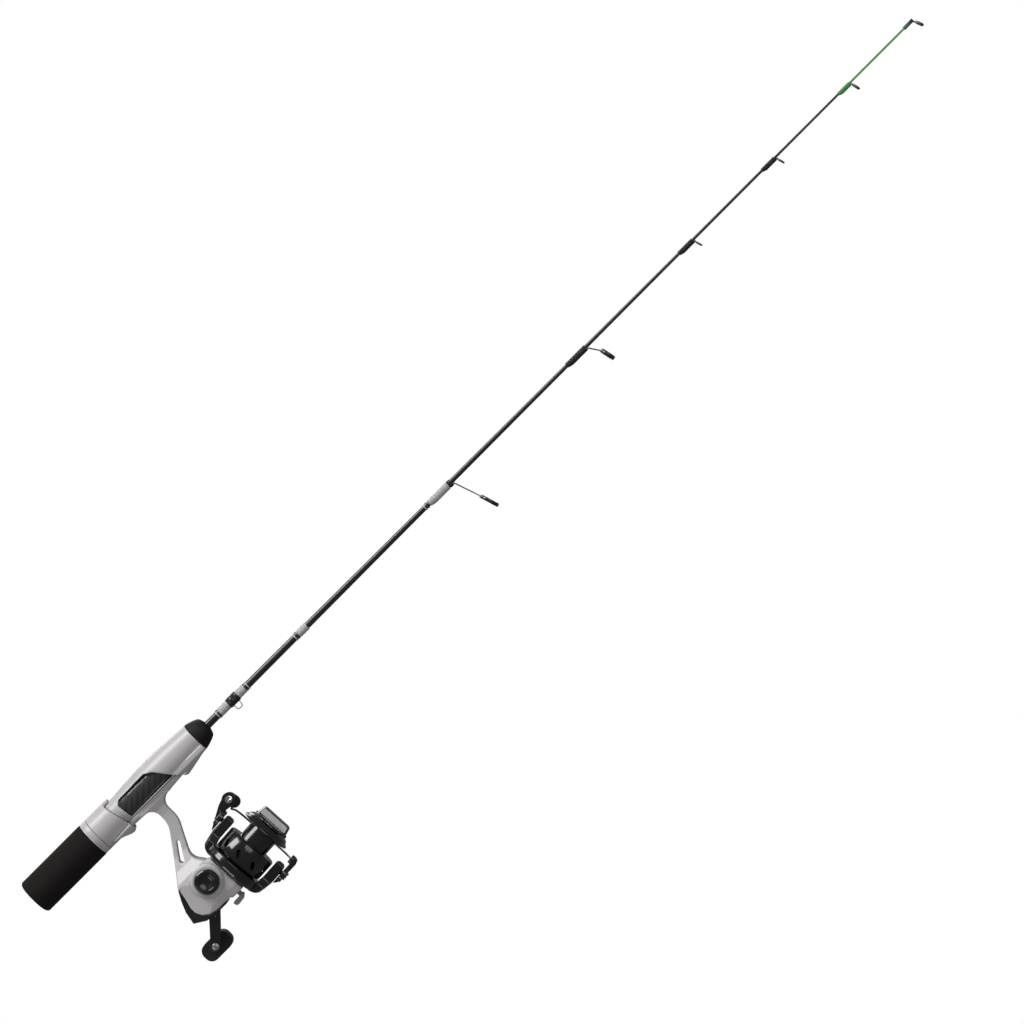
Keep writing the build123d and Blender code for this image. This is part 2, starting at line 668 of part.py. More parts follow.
def stem_face():
    """Outline of the stem between the foot and the case, with an arc at each bend."""
    g, h, x = GEAR_X, GEAR_Z, STEM_X
    under = FOOT_TOP - 4.2
    run = STEM_HALF_L + STEM_FILLET + 2
    bends = [
        ((x - run, under + 1), 0), ((x - run, under), 0), ((x - STEM_HALF_L, under), STEM_FILLET),
        ((x - STEM_HALF_L, -26.0), 14), ((g - 16.8, h + 8.6), 0), ((g + 9.0, h + 7.6), 0),
        ((g + 2.4, h + 17.6), 8),
        ((x + STEM_HALF_L, -27.5), 14), ((x + STEM_HALF_L, under), STEM_FILLET), ((x + run, under), 0),
        ((x + run, under + 1), 0),
    ]
    return make_face(FilletPolyline(*[p for p, _ in bends], radius=[r for _, r in bends], close=True))


def foot_solid():
    """Foot plate that the two hoods hold."""
    x0, x1, top = FOOT_FROM, FOOT_FROM + FOOT_L, FOOT_TOP
    side = [
        (x0, top), (x1, top), (x1, top - 1.7), (x1 - 4.5, top - 3.2), (x1 - 20, top - 4.4),
        (STEM_X, top - 4.7),
        (x0 + 15, top - 4.4), (x0 + 3.6, top - 3.9), (x0, top - 1.7),
    ]
    plan = Location(((x0 + x1) / 2, 0, top - 10)) * extrude(SlotOverall(FOOT_L, FOOT_W), amount=12)
    half, edge = FOOT_W / 2, top - 2.4
    end_view = [(half, top), (half, edge), (half - 2.4, top - 5.2), (2.4 - half, top - 5.2), (-half, edge), (-half, top)]
    return slab(side, -ALL, ALL) & plan & across(end_view, x0 - 1, x1 + 1)


def screw_places():
    """(x, z) of the side plate's three screws."""
    g, h = GEAR_X, GEAR_Z
    return [(g - 11.4, h + 6.4), (g - 11.7, h - 12.8), (g + 3.6, h - 13.0)]


def behind_rotor():
    """Half space behind the case's front face."""
    return REEL * block((-ALL, BODY_FRONT), (-ALL, ALL), (-ALL, ALL))


def make_case():
    """Reel housing with foot and stem, side plate, rear cover, cap, screws and gear bearings."""
    g, h = GEAR_X, GEAR_Z
    rounding = across(front_view(), 0, ALL) & upright(plan_view(), -ALL, ALL)
    case = slab(body_outline(), -BODY_HALF_W, BODY_HALF_W) & rounding & behind_rotor()
    inner = BODY_HALF_W - BODY_WALL
    cavity = slab(cavity_outline(), -inner, inner)
    bearing_from = inner - 1.7
    pocket_r = BEARING_R + SEATED
    posts = [tube_y(x, z, -inner - 0.5, SPLIT_Y, SCREW_R + 1.2) for x, z in screw_places()]

    stem = slab(stem_face(), -ALL / 10, ALL / 10) & across(front_view(), 0, ALL)
    slot = slab(link((g + 3.4, h + 29.6), 1.0, (g - 2.9, h + 19.9), 1.6), -ALL, ALL)
    half = (case & block((-ALL, ALL), (-ALL, SPLIT_Y), (-ALL, ALL))) - cavity
    half += tube_y(g, h, -BODY_HALF_W - BOSS_T, -BODY_HALF_W + 0.5, BOSS_R) & behind_rotor()
    half += tube_y(g, h, -inner - 0.5, -bearing_from, BEARING_R + 1.5)
    far_side = case & block((-ALL, ALL), (SPLIT_Y, ALL), (-ALL, ALL))
    half += (stem - cavity - slot - far_side) + foot_solid()
    for post in posts:
        half += post
    half += REEL * tube(BODY_FRONT - 0.8, NOSE_TO, NOSE_R)
    half -= REEL * tube(BODY_FRONT - 4, BODY_FRONT + 0.1 + PINION_BEARING_T, PINION_BEARING_R + SEATED)
    half -= REEL * tube(BODY_FRONT, ALL, PINION_TUBE_R + 1.2)
    half -= tube_y(g, h, -BODY_HALF_W - 0.2, -bearing_from + 1, pocket_r)
    half -= tube_y(g, h, -ALL, -BODY_HALF_W, BEARING_R - 0.6)
    for x, z in screw_places():
        half -= tube_y(x, z, -inner + 3, ALL, SCREW_R + SEATED)
    shaft_hole = Location((0, 0, -LEVER_SHAFT_DROP)) * tube(BODY_FRONT - 8.4, BODY_FRONT + 1, LEVER_SHAFT_R + RUN)
    lever_slot = block((5.0, 8.8), (-2.4, 4.2), (-LEVER_SHAFT_DROP - 6, -LEVER_SHAFT_DROP + 2.2))
    half -= REEL * (shaft_hole + lever_slot)

    plate = (case & block((-ALL, ALL), (SPLIT_Y + 0.05, ALL), (-ALL, ALL))) - cavity
    plate += tube_y(g, h, bearing_from, inner + 0.5, BEARING_R + 1.5)
    plate += tube_y(g, h, BODY_HALF_W - 0.5, BODY_HALF_W + BOSS_T + 0.4, BOSS_R - 1.2) & behind_rotor()
    plate += tube_y(SWING_X, SWING_Z, 3.8, inner + 0.5, STUD_R)
    plate -= tube_y(g, h, bearing_from - 1, BODY_HALF_W + 0.2, pocket_r)
    plate -= tube_y(g, h, 0, ALL, GEAR_SHAFT_R + 0.5)
    plate -= REEL * tube(BODY_FRONT - 0.9, NOSE_TO, NOSE_R + 0.1)
    screws = []
    for x, z in screw_places():
        plate -= tube_y(x, z, SPLIT_Y, ALL, SCREW_R + SEATED)
        plate -= tube_y(x, z, BODY_HALF_W - 1.0, ALL, SCREW_HEAD_R + 0.1)
        screw = tube_y(x, z, -inner + 3.2, BODY_HALF_W - 0.9, SCREW_R)
        head = tube_y(x, z, BODY_HALF_W - 0.98, BODY_HALF_W + 0.1, SCREW_HEAD_R)
        cross = block((x - 1.1, x + 1.1), (BODY_HALF_W - 0.4, ALL), (z - 0.2, z + 0.2))
        cross += block((x - 0.2, x + 0.2), (BODY_HALF_W - 0.4, ALL), (z - 1.1, z + 1.1))
        screws.append(screw + head - cross)

    rear = [
        (g - 16.5, h + 9.0), (g - 20.2, h + 2.6), (g - 23.2, h - 4.4), (g - 24.3, h - 10.4),
        (g - 24.8, h - 12.4),
        (g - 22.2, h - 14.0), (g - 17.2, h - 17.0), (g - 7.2, h - 18.0), (g - 1.2, h - 18.0),
        (g - 0.2, h - 17.0),
        (g - 7.2, h - 16.82), (g - 13.25, h - 15.52), (g - 17.3, h - 12.5), (g - 19.32, h - 8.4),
        (g - 19.32, h - 4.4),
        (g - 18.02, h - 0.2), (g - 16.52, h + 7.1),
    ]
    cover = slab(rear, 0.8 - BODY_HALF_W, BODY_HALF_W - 0.8) & upright(plan_view(), -ALL, ALL)
    cover -= slab(body_outline(), -ALL, ALL) + stem

    top = -BODY_HALF_W - BOSS_T
    cap = lathe_y(
        [
            (top - CAP_T, 0), (top - CAP_T + 0.9, 4.6), (top - CAP_T, 5.4), (top - CAP_T, CAP_R - 1.0),
            (top - CAP_T + 0.8, CAP_R), (top - 0.05, CAP_R), (top - 0.05, BEARING_R - 0.62),
            (-BODY_HALF_W - 0.1, BEARING_R - 0.62), (-BODY_HALF_W - 0.1, 0),
        ],
        g,
        h,
    )
    y_bearing = (-BODY_HALF_W - 0.15, -BODY_HALF_W - 0.15 + BEARING_T)
    bearings = [
        tube_y(g, h, y_bearing[0] + 0.1, y_bearing[1] + 0.1, BEARING_R, GEAR_SHAFT_R + RUN),
        tube_y(g, h, BODY_HALF_W - BEARING_T, BODY_HALF_W + 0.15, BEARING_R, GEAR_SHAFT_R + RUN),
    ]
    return {
        "reel_housing": half,
        "side_plate": plate,
        "rear_cover": cover,
        "side_cap": cap,
        "plate_screws": Compound(screws),
        "gear_bearings": Compound(bearings),
    }


# Gear train


def make_gears():
    """Drive gear, oscillation gear, slider, main shaft, pinion and its bearing, guide rod."""
    g, h = GEAR_X, GEAR_Z
    back = -(PINION_R + GAP + 1.5)
    teeth_depth = 1.5
    drive = tube_y(g, h, -BODY_HALF_W + 0.1, BODY_HALF_W + BOSS_T + 0.2, GEAR_SHAFT_R)
    drive += tube_y(g, h, back - DRIVE_T, back, DRIVE_R)
    tooth = block((DRIVE_R - 2.4, DRIVE_R - 0.1), (back - 0.2, back + teeth_depth), (-0.28, 0.28))
    for i in range(DRIVE_TEETH):
        drive += Location((g, 0, h)) * (Location((0, 0, 0), (0, i * 360 / DRIVE_TEETH, 0)) * tooth)
    drive += gear_y(TRANSFER_TEETH, TRANSFER_R, 0.7, g, h, 4.0, 4.0 + SWING_T)
    drive -= tube_y(g, h, -ALL, ALL, CRANK_SHAFT_R + SEATED)

    swing = gear_y(SWING_TEETH, SWING_R, 0.7, SWING_X, SWING_Z, 4.0, 4.0 + SWING_T)
    swing += tube_y(SWING_X - SWING_PIN_AT, SWING_Z, 2.75, 4.5, SWING_PIN_R)
    swing -= tube_y(SWING_X, SWING_Z, 3.6, 8, STUD_R + RUN)

    slider_x = (SHAFT_FROM, SHAFT_FROM + SLIDER_L)
    slider = block(slider_x, (-3.1, 2.3), (-SLIDER_DROP, 2.2))
    slider -= block((slider_x[0] + 1.6, slider_x[1] - 1.6), (1.2, 3), (-ALL, ALL))
    slider -= tube(-ALL, ALL, SHAFT_R + SEATED)
    shaft = tube(SHAFT_FROM, SHAFT_TO, SHAFT_R)

    pinion = gear_x(PINION_TEETH, PINION_R, 0.9, PINION_GEAR_FROM, PINION_GEAR_TO)
    pinion += tube(PINION_GEAR_TO - 0.2, DRUM_TO + NUT_T + 0.2, PINION_TUBE_R)
    pinion -= tube(-ALL, ALL, SHAFT_R + RUN)
    bearing_x = BODY_FRONT + 0.05
    bearing = tube(bearing_x, bearing_x + PINION_BEARING_T, PINION_BEARING_R, PINION_TUBE_R + RUN)
    ratchet = gear_x(RATCHET_TEETH, RATCHET_R, 0.8, NOSE_TO + 1.0, NOSE_TO + 3.0)
    ratchet -= tube(0, ALL, PINION_TUBE_R + SEATED)
    return {
        "drive_gear": drive,
        "oscillation_gear": swing,
        "oscillation_slider": REEL * slider,
        "main_shaft": REEL * shaft,
        "pinion_gear": REEL * pinion,
        "pinion_bearing": REEL * bearing,
        "ratchet_wheel": REEL * ratchet,
    }


def make_lever():
    """Anti-reverse lever with its cam shaft, and the pawl on the shaft's front end."""
    drop = LEVER_SHAFT_DROP
    shaft = Location((0, 0, -drop)) * tube(3.6, NOSE_TO + 2.8, LEVER_SHAFT_R)
    neck = block((5.5, 8.3), (-1.4, 1.4), (-drop - 5.2, -drop + 0.6))
    lever = shaft + neck
    tongue = slab(
        [
            (8.6, -drop - 4.4), (8.9, -drop - 5.6), (6.4, -drop - 7.4), (1.6, -drop - 7.7),
            (0.2, -drop - 7.1),
            (-0.4, -drop - 5.0), (0.6, -drop - 4.3),
        ],
        -2.1,
        2.1,
    )
    lever += tongue
    at = (0, -drop)
    tip = (0, -RATCHET_R - GAP - 0.7)
    face = link(at, LEVER_SHAFT_R + 0.8, tip, 0.7)
    pawl = extrude(Plane(origin=(NOSE_TO + 1.2, 0, 0), x_dir=(0, 1, 0), z_dir=(1, 0, 0)) * face, amount=1.6)
    pawl -= Location((0, 0, -drop)) * tube(0, ALL, LEVER_SHAFT_R + SEATED)
    return {"anti_reverse_lever": REEL * lever, "anti_reverse_pawl": REEL * pawl}


# Rotor and bail


def make_rotor():
    """Rotor with its two arms, the rotor nut and the bail's hinge screws and spring."""
    rim = ROTOR_RIM_R
    bore = PINION_TUBE_R + SEATED
    dish = lathe(
        [
            (ROTOR_BACK, ROTOR_HOLE_R), (ROTOR_BACK, rim - 2.4), (ROTOR_BACK + 0.9, rim - 0.8),
            (ROTOR_BACK + 2.6, rim),
            (ROTOR_FACE - 0.7, rim), (ROTOR_FACE, rim - 0.7), (ROTOR_FACE, DRUM_R), (DRUM_TO, DRUM_R),
            (DRUM_TO, bore),
            (NOSE_TO + 3.5, bore), (NOSE_TO + 3.5, bore + 2.1), (DRUM_TO - 2.4, bore + 2.1),
            (DRUM_TO - 2.4, ROTOR_CAVITY_R), (ROTOR_BACK + 1.6, ROTOR_CAVITY_R),
            (ROTOR_BACK + 1.6, ROTOR_HOLE_R),
        ]
    )
    ring = lathe(
        [
            (ROTOR_BACK, DRUM_R + 1), (ROTOR_BACK, ARM_OUT_R - 5.8), (ROTOR_BACK + 0.9, ARM_OUT_R - 3.4),
            (ROTOR_BACK + 2.8, ARM_OUT_R - 1.7), (ROTOR_FACE, ARM_OUT_R - 0.8), (24.0, ARM_OUT_R),
            (ARM_TO - 4, ARM_OUT_R), (ARM_TO - 0.8, ARM_OUT_R - 0.6),
            (ARM_TO, ARM_OUT_R - 1.6), (ARM_TO, ARM_IN_R + 1.2), (ARM_TO - 1.3, ARM_IN_R),
            (ROTOR_FACE, ARM_IN_R),
            (ROTOR_FACE, DRUM_R + 1),
        ]
    )
    w, root = ARM_HALF_W, ARM_ROOT_HALF_W
    half = [(ROTOR_BACK - 1, root), (ROTOR_FACE, root), (24.0, w), (ARM_TO - 1.2, w), (ARM_TO, w - 1.2)]
    ring &= upright(half + [(x, -y) for x, y in reversed(half)], -ALL / 8, ALL / 8)
    rotor = dish + ring
    screws, springs = [], []
    for side in (1, -1):
        flip = Location((0, 0, 0), (0 if side > 0 else 180, 0, 0))
        head_at = ARM_OUT_R + GAP + BAIL_T
        screw = tube_z(HINGE_U, 0, ARM_IN_R + 1.2, head_at + 0.2, HINGE_SCREW_R)
        screw += tube_z(HINGE_U, 0, head_at + 0.1, head_at + 1.1, HINGE_HEAD_R)
        screw -= block((HINGE_U - 1.8, HINGE_U + 1.8), (-0.25, 0.25), (head_at + 0.6, ALL))
        screws.append(flip * screw)
        rotor -= flip * tube_z(HINGE_U, 0, ARM_IN_R + 1, ALL / 8, HINGE_SCREW_R + SEATED)
    rotor -= tube_z(HINGE_U, 0, ARM_OUT_R - 3.6, ARM_OUT_R + 1, 3.3)
    coil = Helix(0.8, 2.4, 2.5, center=(HINGE_U, 0, ARM_OUT_R - 3.2))
    spring = sweep(Plane(origin=coil @ 0, z_dir=coil % 0) * Circle(0.28), path=coil, is_frenet=True)
    nut = extrude(Plane(origin=(DRUM_TO + 0.05, 0, 0), z_dir=(1, 0, 0)) * RegularPolygon(NUT_R, 6), amount=NUT_T)
    nut -= tube(0, ALL, PINION_TUBE_R + SEATED)
    return {
        "rotor": REEL * rotor,
        "rotor_nut": REEL * nut,
        "bail_hinge_screws": REEL * Compound(screws),
        "bail_spring": REEL * spring,
    }


def make_bail():
    """Bail arm, trip arm, wire, wire boss, line roller with its bush and screw."""
    low = ARM_OUT_R + GAP
    top = low + BAIL_T
    u, w = ROLLER_U, ROLLER_W
    near, far = -ROLLER_L / 2 - GAP, ROLLER_L / 2 + GAP
    stop = u - ROLLER_R - GAP - 0.3
    rail = [
        (HINGE_U - 8.6, low), (HINGE_U - 8.6, low + 0.5), (HINGE_U - 3.6, low + 2.9),
        (HINGE_U + 5.2, low + 7.2),
        (stop, low + 8.2), (stop, low + 2.2), (HINGE_U + 5.6, low + 1.9), (HINGE_U + 5.0, low),
    ]
    arm = slab(rail, -3.6, 3.6) + tube_z(HINGE_U, 0, low, top, BAIL_HUB_R)
    cheek = link((stop - 3.0, low + 4.2), 2.0, (u, w), CHEEK_R)
    arm += slab(cheek, near - CHEEK_T, near)
    arm -= tube_z(HINGE_U, 0, 0, ALL / 8, HINGE_SCREW_R + RUN)
    arm -= tube_z(HINGE_U, 0, top, ALL / 8, HINGE_HEAD_R + GAP)
    arm -= tube_y(u, w, -ALL / 8, ALL / 8, ROLLER_SCREW_R + SEATED)

    base = -low
    trip_side = [
        (HINGE_U - 8.0, base), (HINGE_U - 5.6, base - 2.1), (HINGE_U - 0.6, base - 2.9),
        (BOSS_U - 0.6, base - 3.2),
        (BOSS_U + 2.2, base - 2.2), (BOSS_U + 2.4, base),
    ]
    trip = slab(trip_side, -3.0, 3.0) + tube_z(HINGE_U, 0, -top, -low, BAIL_HUB_R)
    trip += tube_z(BOSS_U, 0, base - 1.0, -(ARM_OUT_R - 1.6), BOSS_PIN_R)
    trip -= tube_z(HINGE_U, 0, -ALL / 8, 0, HINGE_SCREW_R + RUN)
    trip -= tube_z(HINGE_U, 0, -ALL / 8, -top, HINGE_HEAD_R + GAP)

    boss = slab(link((u, w), CHEEK_R - 0.4, (u + 0.5, w - 3.2), 4.0), far, far + 3.0)
    boss -= tube_y(u, w, 0, far + 2.0, ROLLER_SCREW_R + SEATED)
    path = FilletPolyline(
        (u - 1.0, far + 1.4, w - 4.0),
        (WIRE_U + 0.4, far + 6.8, w - 5.0),
        (WIRE_U, WIRE_APEX, w - 8.4),
        (WIRE_U + 0.2, WIRE_APEX, -ARM_OUT_R + 3.2),
        (BOSS_U - 0.6, 1.4, -ARM_OUT_R - 0.4),
        radius=[2.5, 11, 11],
    )
    wire = sweep(Plane(origin=path @ 0, z_dir=path % 0) * Circle(WIRE_R), path=path)
    boss -= wire
    trip -= wire
    roller = lathe_y(
        [
            (-ROLLER_L / 2, ROLLER_BORE), (-ROLLER_L / 2, ROLLER_R), (-ROLLER_L / 2 + 0.8, ROLLER_R),
            (-0.2, ROLLER_R - 0.9),
            (0.6, ROLLER_R - 0.9), (ROLLER_L / 2 - 0.6, ROLLER_R), (ROLLER_L / 2, ROLLER_R),
            (ROLLER_L / 2, ROLLER_BORE),
        ],
        u,
        w,
    )
    bush = tube_y(u, w, near + 0.02, far - 0.02, ROLLER_BORE - RUN, ROLLER_SCREW_R + SEATED)
    screw = tube_y(u, w, near - CHEEK_T - 0.2, far + 1.9, ROLLER_SCREW_R)
    screw += lathe_y(
        [
            (near - CHEEK_T - 0.9, 0), (near - CHEEK_T - 0.9, 1.4), (near - CHEEK_T - 0.6, 2.3),
            (near - CHEEK_T - 0.02, 2.3), (near - CHEEK_T - 0.02, 0),
        ],
        u,
        w,
    )
    screw -= block((u - 1.5, u + 1.5), (-ALL, near - CHEEK_T - 0.5), (w - 0.25, w + 0.25))
    return {
        "bail_arm": REEL * arm,
        "bail_trip_arm": REEL * trip,
        "bail_wire": REEL * wire,
        "wire_boss": REEL * boss,
        "line_roller": REEL * roller,
        "roller_bush": REEL * bush,
        "roller_screw": REEL * screw,
    }


# Spool and drag


def make_spool():
    """Spool, click gear, drag washers, drag knob and the two plates of its grip bar."""
    wall = SKIRT_WALL
    bore = SHAFT_R + RUN
    spool = lathe(
        [
            (SKIRT_FROM, SKIRT_R - wall), (SKIRT_FROM, SKIRT_R - 0.4), (SKIRT_FROM + 0.5, SKIRT_R),
            (ARBOR_FROM - 0.8, SKIRT_R), (ARBOR_FROM, SKIRT_R - 0.7), (ARBOR_FROM, ARBOR_R),
            (ARBOR_TO, ARBOR_R),
            (ARBOR_TO + 0.2, LIP_R - 0.4), (ARBOR_TO + 0.7, LIP_R), (ARBOR_TO + 1.4, LIP_R - 0.2),
            (ARBOR_TO + 2.2, LIP_R - 1.4), (ARBOR_TO + 3.4, LIP_R - 2.0), (SPOOL_FRONT - 0.2, KNOB_R + 1.1),
            (SPOOL_FRONT, KNOB_R + 0.5), (SPOOL_FRONT, POCKET_R), (POCKET_FLOOR, POCKET_R),
            (POCKET_FLOOR, bore),
            (DRUM_TO + NUT_T + 1.2, bore), (DRUM_TO + NUT_T + 1.2, 4.0), (POCKET_FLOOR - 1.2, 4.0),
            (POCKET_FLOOR - 1.2, ARBOR_R - wall), (ARBOR_FROM - 1.2, ARBOR_R - wall),
            (ARBOR_FROM - 1.2, SKIRT_R - wall),
        ]
    )
    mid = (SKIRT_FROM + ARBOR_FROM) / 2 - 1.5
    port_face = SlotOverall(5.6, 2.6)
    plane = Plane(origin=(mid, 0, 0), x_dir=(cos(radians(35)), sin(radians(35)), 0), z_dir=(0, 0, 1))
    port = extrude(plane * port_face, amount=SKIRT_R + 1)
    port -= tube(0, ALL, SKIRT_R - wall - 0.6)
    for i in range(PORTS):
        spool -= Location((0, 0, 0), (i * 360 / PORTS, 0, 0)) * port
    click = gear_x(30, ARBOR_R - 2.4, 0.5, ARBOR_FROM + 2, ARBOR_FROM + 3.4) - tube(0, ALL, 4.0 + SEATED)
    washers = []
    for i in range(3):
        x = POCKET_FLOOR + 0.15 + i * (WASHER_T + 0.1)
        washers.append(tube(x, x + WASHER_T, POCKET_R - 0.4, SHAFT_R + 0.2))

    step = KNOB_BACK + KNOB_STEP
    knob = lathe(
        [
            (SPOOL_FRONT - 2.4, SHAFT_R + SEATED), (SPOOL_FRONT - 2.4, 7.0), (KNOB_BACK, 7.0),
            (KNOB_BACK, KNOB_R - 0.3),
            (KNOB_BACK + 0.4, KNOB_R), (step, KNOB_R - 0.5), (step + 0.4, KNOB_TOP_R + 1.1),
            (step + 0.8, KNOB_TOP_R - 1.2),
            (step + 0.8, SHAFT_R + SEATED),
        ]
    )
    grip_bar = lathe([(step, 0), (step, KNOB_TOP_R + 1.1), (KNOB_FRONT - 0.6, KNOB_TOP_R), (KNOB_FRONT, KNOB_TOP_R - 0.7), (KNOB_FRONT, 0)])
    grip_bar &= block((step, KNOB_FRONT), (-BAR_HALF_W, BAR_HALF_W), (-ALL / 8, ALL / 8))
    knob += grip_bar
    knob -= tube(0, SHAFT_TO + 0.3, SHAFT_R + SEATED)
    z_low, z_high = KNOB_TOP_R - 0.6, KNOB_TOP_R - 1.4
    face = [(step + 0.9, z_low), (KNOB_FRONT - 0.7, z_high), (KNOB_FRONT - 0.7, -z_high), (step + 0.9, -z_low)]
    plates = []
    for side in (-1, 1):
        y0, y1 = sorted((side * BAR_HALF_W, side * (BAR_HALF_W + INSERT_T)))
        plates.append(slab(face, y0, y1))
    return {
        "spool": REEL * spool,
        "click_gear": REEL * click,
        "drag_washers": REEL * Compound(washers),
        "drag_knob": REEL * knob,
        "drag_knob_plates": REEL * Compound(plates),
    }


# Crank


def make_crank():
    """Crank shaft, arm, cap, knob pin and paddle knob."""
    g, h = GEAR_X, GEAR_Z
    ex, ez = CRANK_END
    y0, y1 = CRANK_Y, CRANK_Y + CRANK_T
    shaft = tube_y(g, h, -BODY_HALF_W + 0.3, y1 - 0.6, CRANK_SHAFT_R)
    hub_from = BODY_HALF_W + BOSS_T + 0.4 + GAP
    arm = slab(link((g, h), CRANK_HUB_W / 2, (ex, ez), CRANK_END_W / 2), y0, y1)
    arm += lathe_y([(hub_from, 0), (hub_from, 5.2), (hub_from + 1.0, 5.6), (y0 - 4, 4.6), (y0 + 0.5, 4.2), (y0 + 0.5, 0)], g, h)
    arm -= tube_y(g, h, 0, ALL, CRANK_SHAFT_R + SEATED)
    arm -= tube_y(ex, ez, 0, ALL, KNOB_PIN_R + SEATED)
    along = (CRANK_DX / hypot(CRANK_DX, CRANK_DZ), CRANK_DZ / hypot(CRANK_DX, CRANK_DZ))
    arm -= tube_y(g + 26 * along[0], h + 26 * along[1], y0 - 1, y0 + 0.7, 0.8)
    cap = lathe_y([(y1 - 0.55, 0), (y1 - 0.55, CRANK_SHAFT_R - 0.1), (y1 + 0.05, CRANK_SHAFT_R - 0.1), (y1 + 0.05, 3.4), (y1 + 1.2, 3.2), (y1 + 1.6, 2.2), (y1 + 1.6, 0)], g, h)
    knob_y = y1 + 0.6
    pin = tube_y(ex, ez, y0 - 0.6, knob_y + PADDLE_H - 2.0, KNOB_PIN_R)
    pin += lathe_y([(y0 - 0.9, 0), (y0 - 0.9, 1.7), (y0 - 0.5, KNOB_PIN_R + 0.3), (y0 - 0.02, KNOB_PIN_R + 0.3), (y0 - 0.02, 0)], ex, ez)
    plan = Pos(ex, ez - 0.5) * SlotOverall(PADDLE_L, PADDLE_W)
    thick = Pos(ex, ez - 0.5) * RectangleRounded(PADDLE_L, PADDLE_W, PADDLE_W * 0.42)
    knob = slab(thick, knob_y + 1.2, knob_y + PADDLE_H)
    knob += slab(plan, knob_y + 3, knob_y + PADDLE_H - 3)
    knob += tube_y(ex, ez, knob_y, knob_y + 2, 4.4)
    knob -= tube_y(ex, ez, 0, knob_y + PADDLE_H - 1.8, KNOB_PIN_R + RUN)
    return {"crank_shaft": shaft, "crank_arm": arm, "crank_cap": cap, "knob_pin": pin, "crank_knob": knob}


def main():
    """Makes every node and writes one file for each."""
    nodes = {}
    for make in (
        make_blank, make_guides, make_trims, make_grip, make_hood, make_seat, make_case, make_gears, make_lever,
        make_rotor, make_bail, make_spool, make_crank,
    ):
        nodes.update(make())
    for name, shape in nodes.items():
        solids = shape.solids()
        whole = solids[0] if len(solids) == 1 else Compound(solids)
        export_step(whole, f"parts/{name}.step")
    print(len(nodes), "nodes")


main()
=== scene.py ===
"""Looks of an ice fishing rod with a spinning reel, built around its CAD bodies.

Lengths are in metres, in the rod's frame: +X from the butt to the tip, +Z away from the reel and +Y the
side the crank is on. Pieces about the spool's axis are drawn along X and placed by reel_place.
"""

from __future__ import annotations

import json
import logging
import math
from dataclasses import dataclass, field
from enum import Enum
from typing import Any, Iterable, Mapping, Sequence, Union

import bmesh
import bpy
from mathutils import Matrix, Vector

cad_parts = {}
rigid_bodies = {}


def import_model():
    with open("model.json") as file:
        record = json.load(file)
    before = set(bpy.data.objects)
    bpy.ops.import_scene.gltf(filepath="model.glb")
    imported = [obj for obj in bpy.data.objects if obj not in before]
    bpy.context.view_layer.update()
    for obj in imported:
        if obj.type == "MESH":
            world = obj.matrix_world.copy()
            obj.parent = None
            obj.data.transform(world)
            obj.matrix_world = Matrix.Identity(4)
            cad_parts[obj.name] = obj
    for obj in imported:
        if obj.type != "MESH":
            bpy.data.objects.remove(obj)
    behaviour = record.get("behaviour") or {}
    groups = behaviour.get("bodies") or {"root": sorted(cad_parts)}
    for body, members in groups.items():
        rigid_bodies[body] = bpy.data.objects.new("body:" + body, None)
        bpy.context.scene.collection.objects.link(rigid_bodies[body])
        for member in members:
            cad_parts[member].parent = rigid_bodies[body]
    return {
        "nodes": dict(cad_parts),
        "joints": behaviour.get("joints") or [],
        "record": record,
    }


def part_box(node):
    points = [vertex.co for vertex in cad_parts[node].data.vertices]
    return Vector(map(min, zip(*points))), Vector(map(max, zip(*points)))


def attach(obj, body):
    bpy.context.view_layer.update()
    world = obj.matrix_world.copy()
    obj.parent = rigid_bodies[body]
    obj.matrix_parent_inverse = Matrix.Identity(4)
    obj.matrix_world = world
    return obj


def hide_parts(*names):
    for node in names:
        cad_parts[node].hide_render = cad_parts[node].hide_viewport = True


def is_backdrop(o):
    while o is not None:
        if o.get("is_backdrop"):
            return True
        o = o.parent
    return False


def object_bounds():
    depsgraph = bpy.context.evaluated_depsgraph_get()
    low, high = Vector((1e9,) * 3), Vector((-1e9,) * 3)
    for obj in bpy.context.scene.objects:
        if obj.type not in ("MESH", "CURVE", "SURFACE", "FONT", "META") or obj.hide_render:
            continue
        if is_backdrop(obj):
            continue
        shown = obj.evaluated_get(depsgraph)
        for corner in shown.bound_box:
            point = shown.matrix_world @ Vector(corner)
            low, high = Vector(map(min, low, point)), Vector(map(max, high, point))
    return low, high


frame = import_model()

log = logging.getLogger("ice_rod")
MM = 0.001
SMOOTH_ANGLE = math.radians(32)
STRAIGHT_ANGLE = math.radians(176)
TINY = 1e-7
Colour = tuple[float, float, float]
Outline = list[tuple[float, float]]


# Node trees


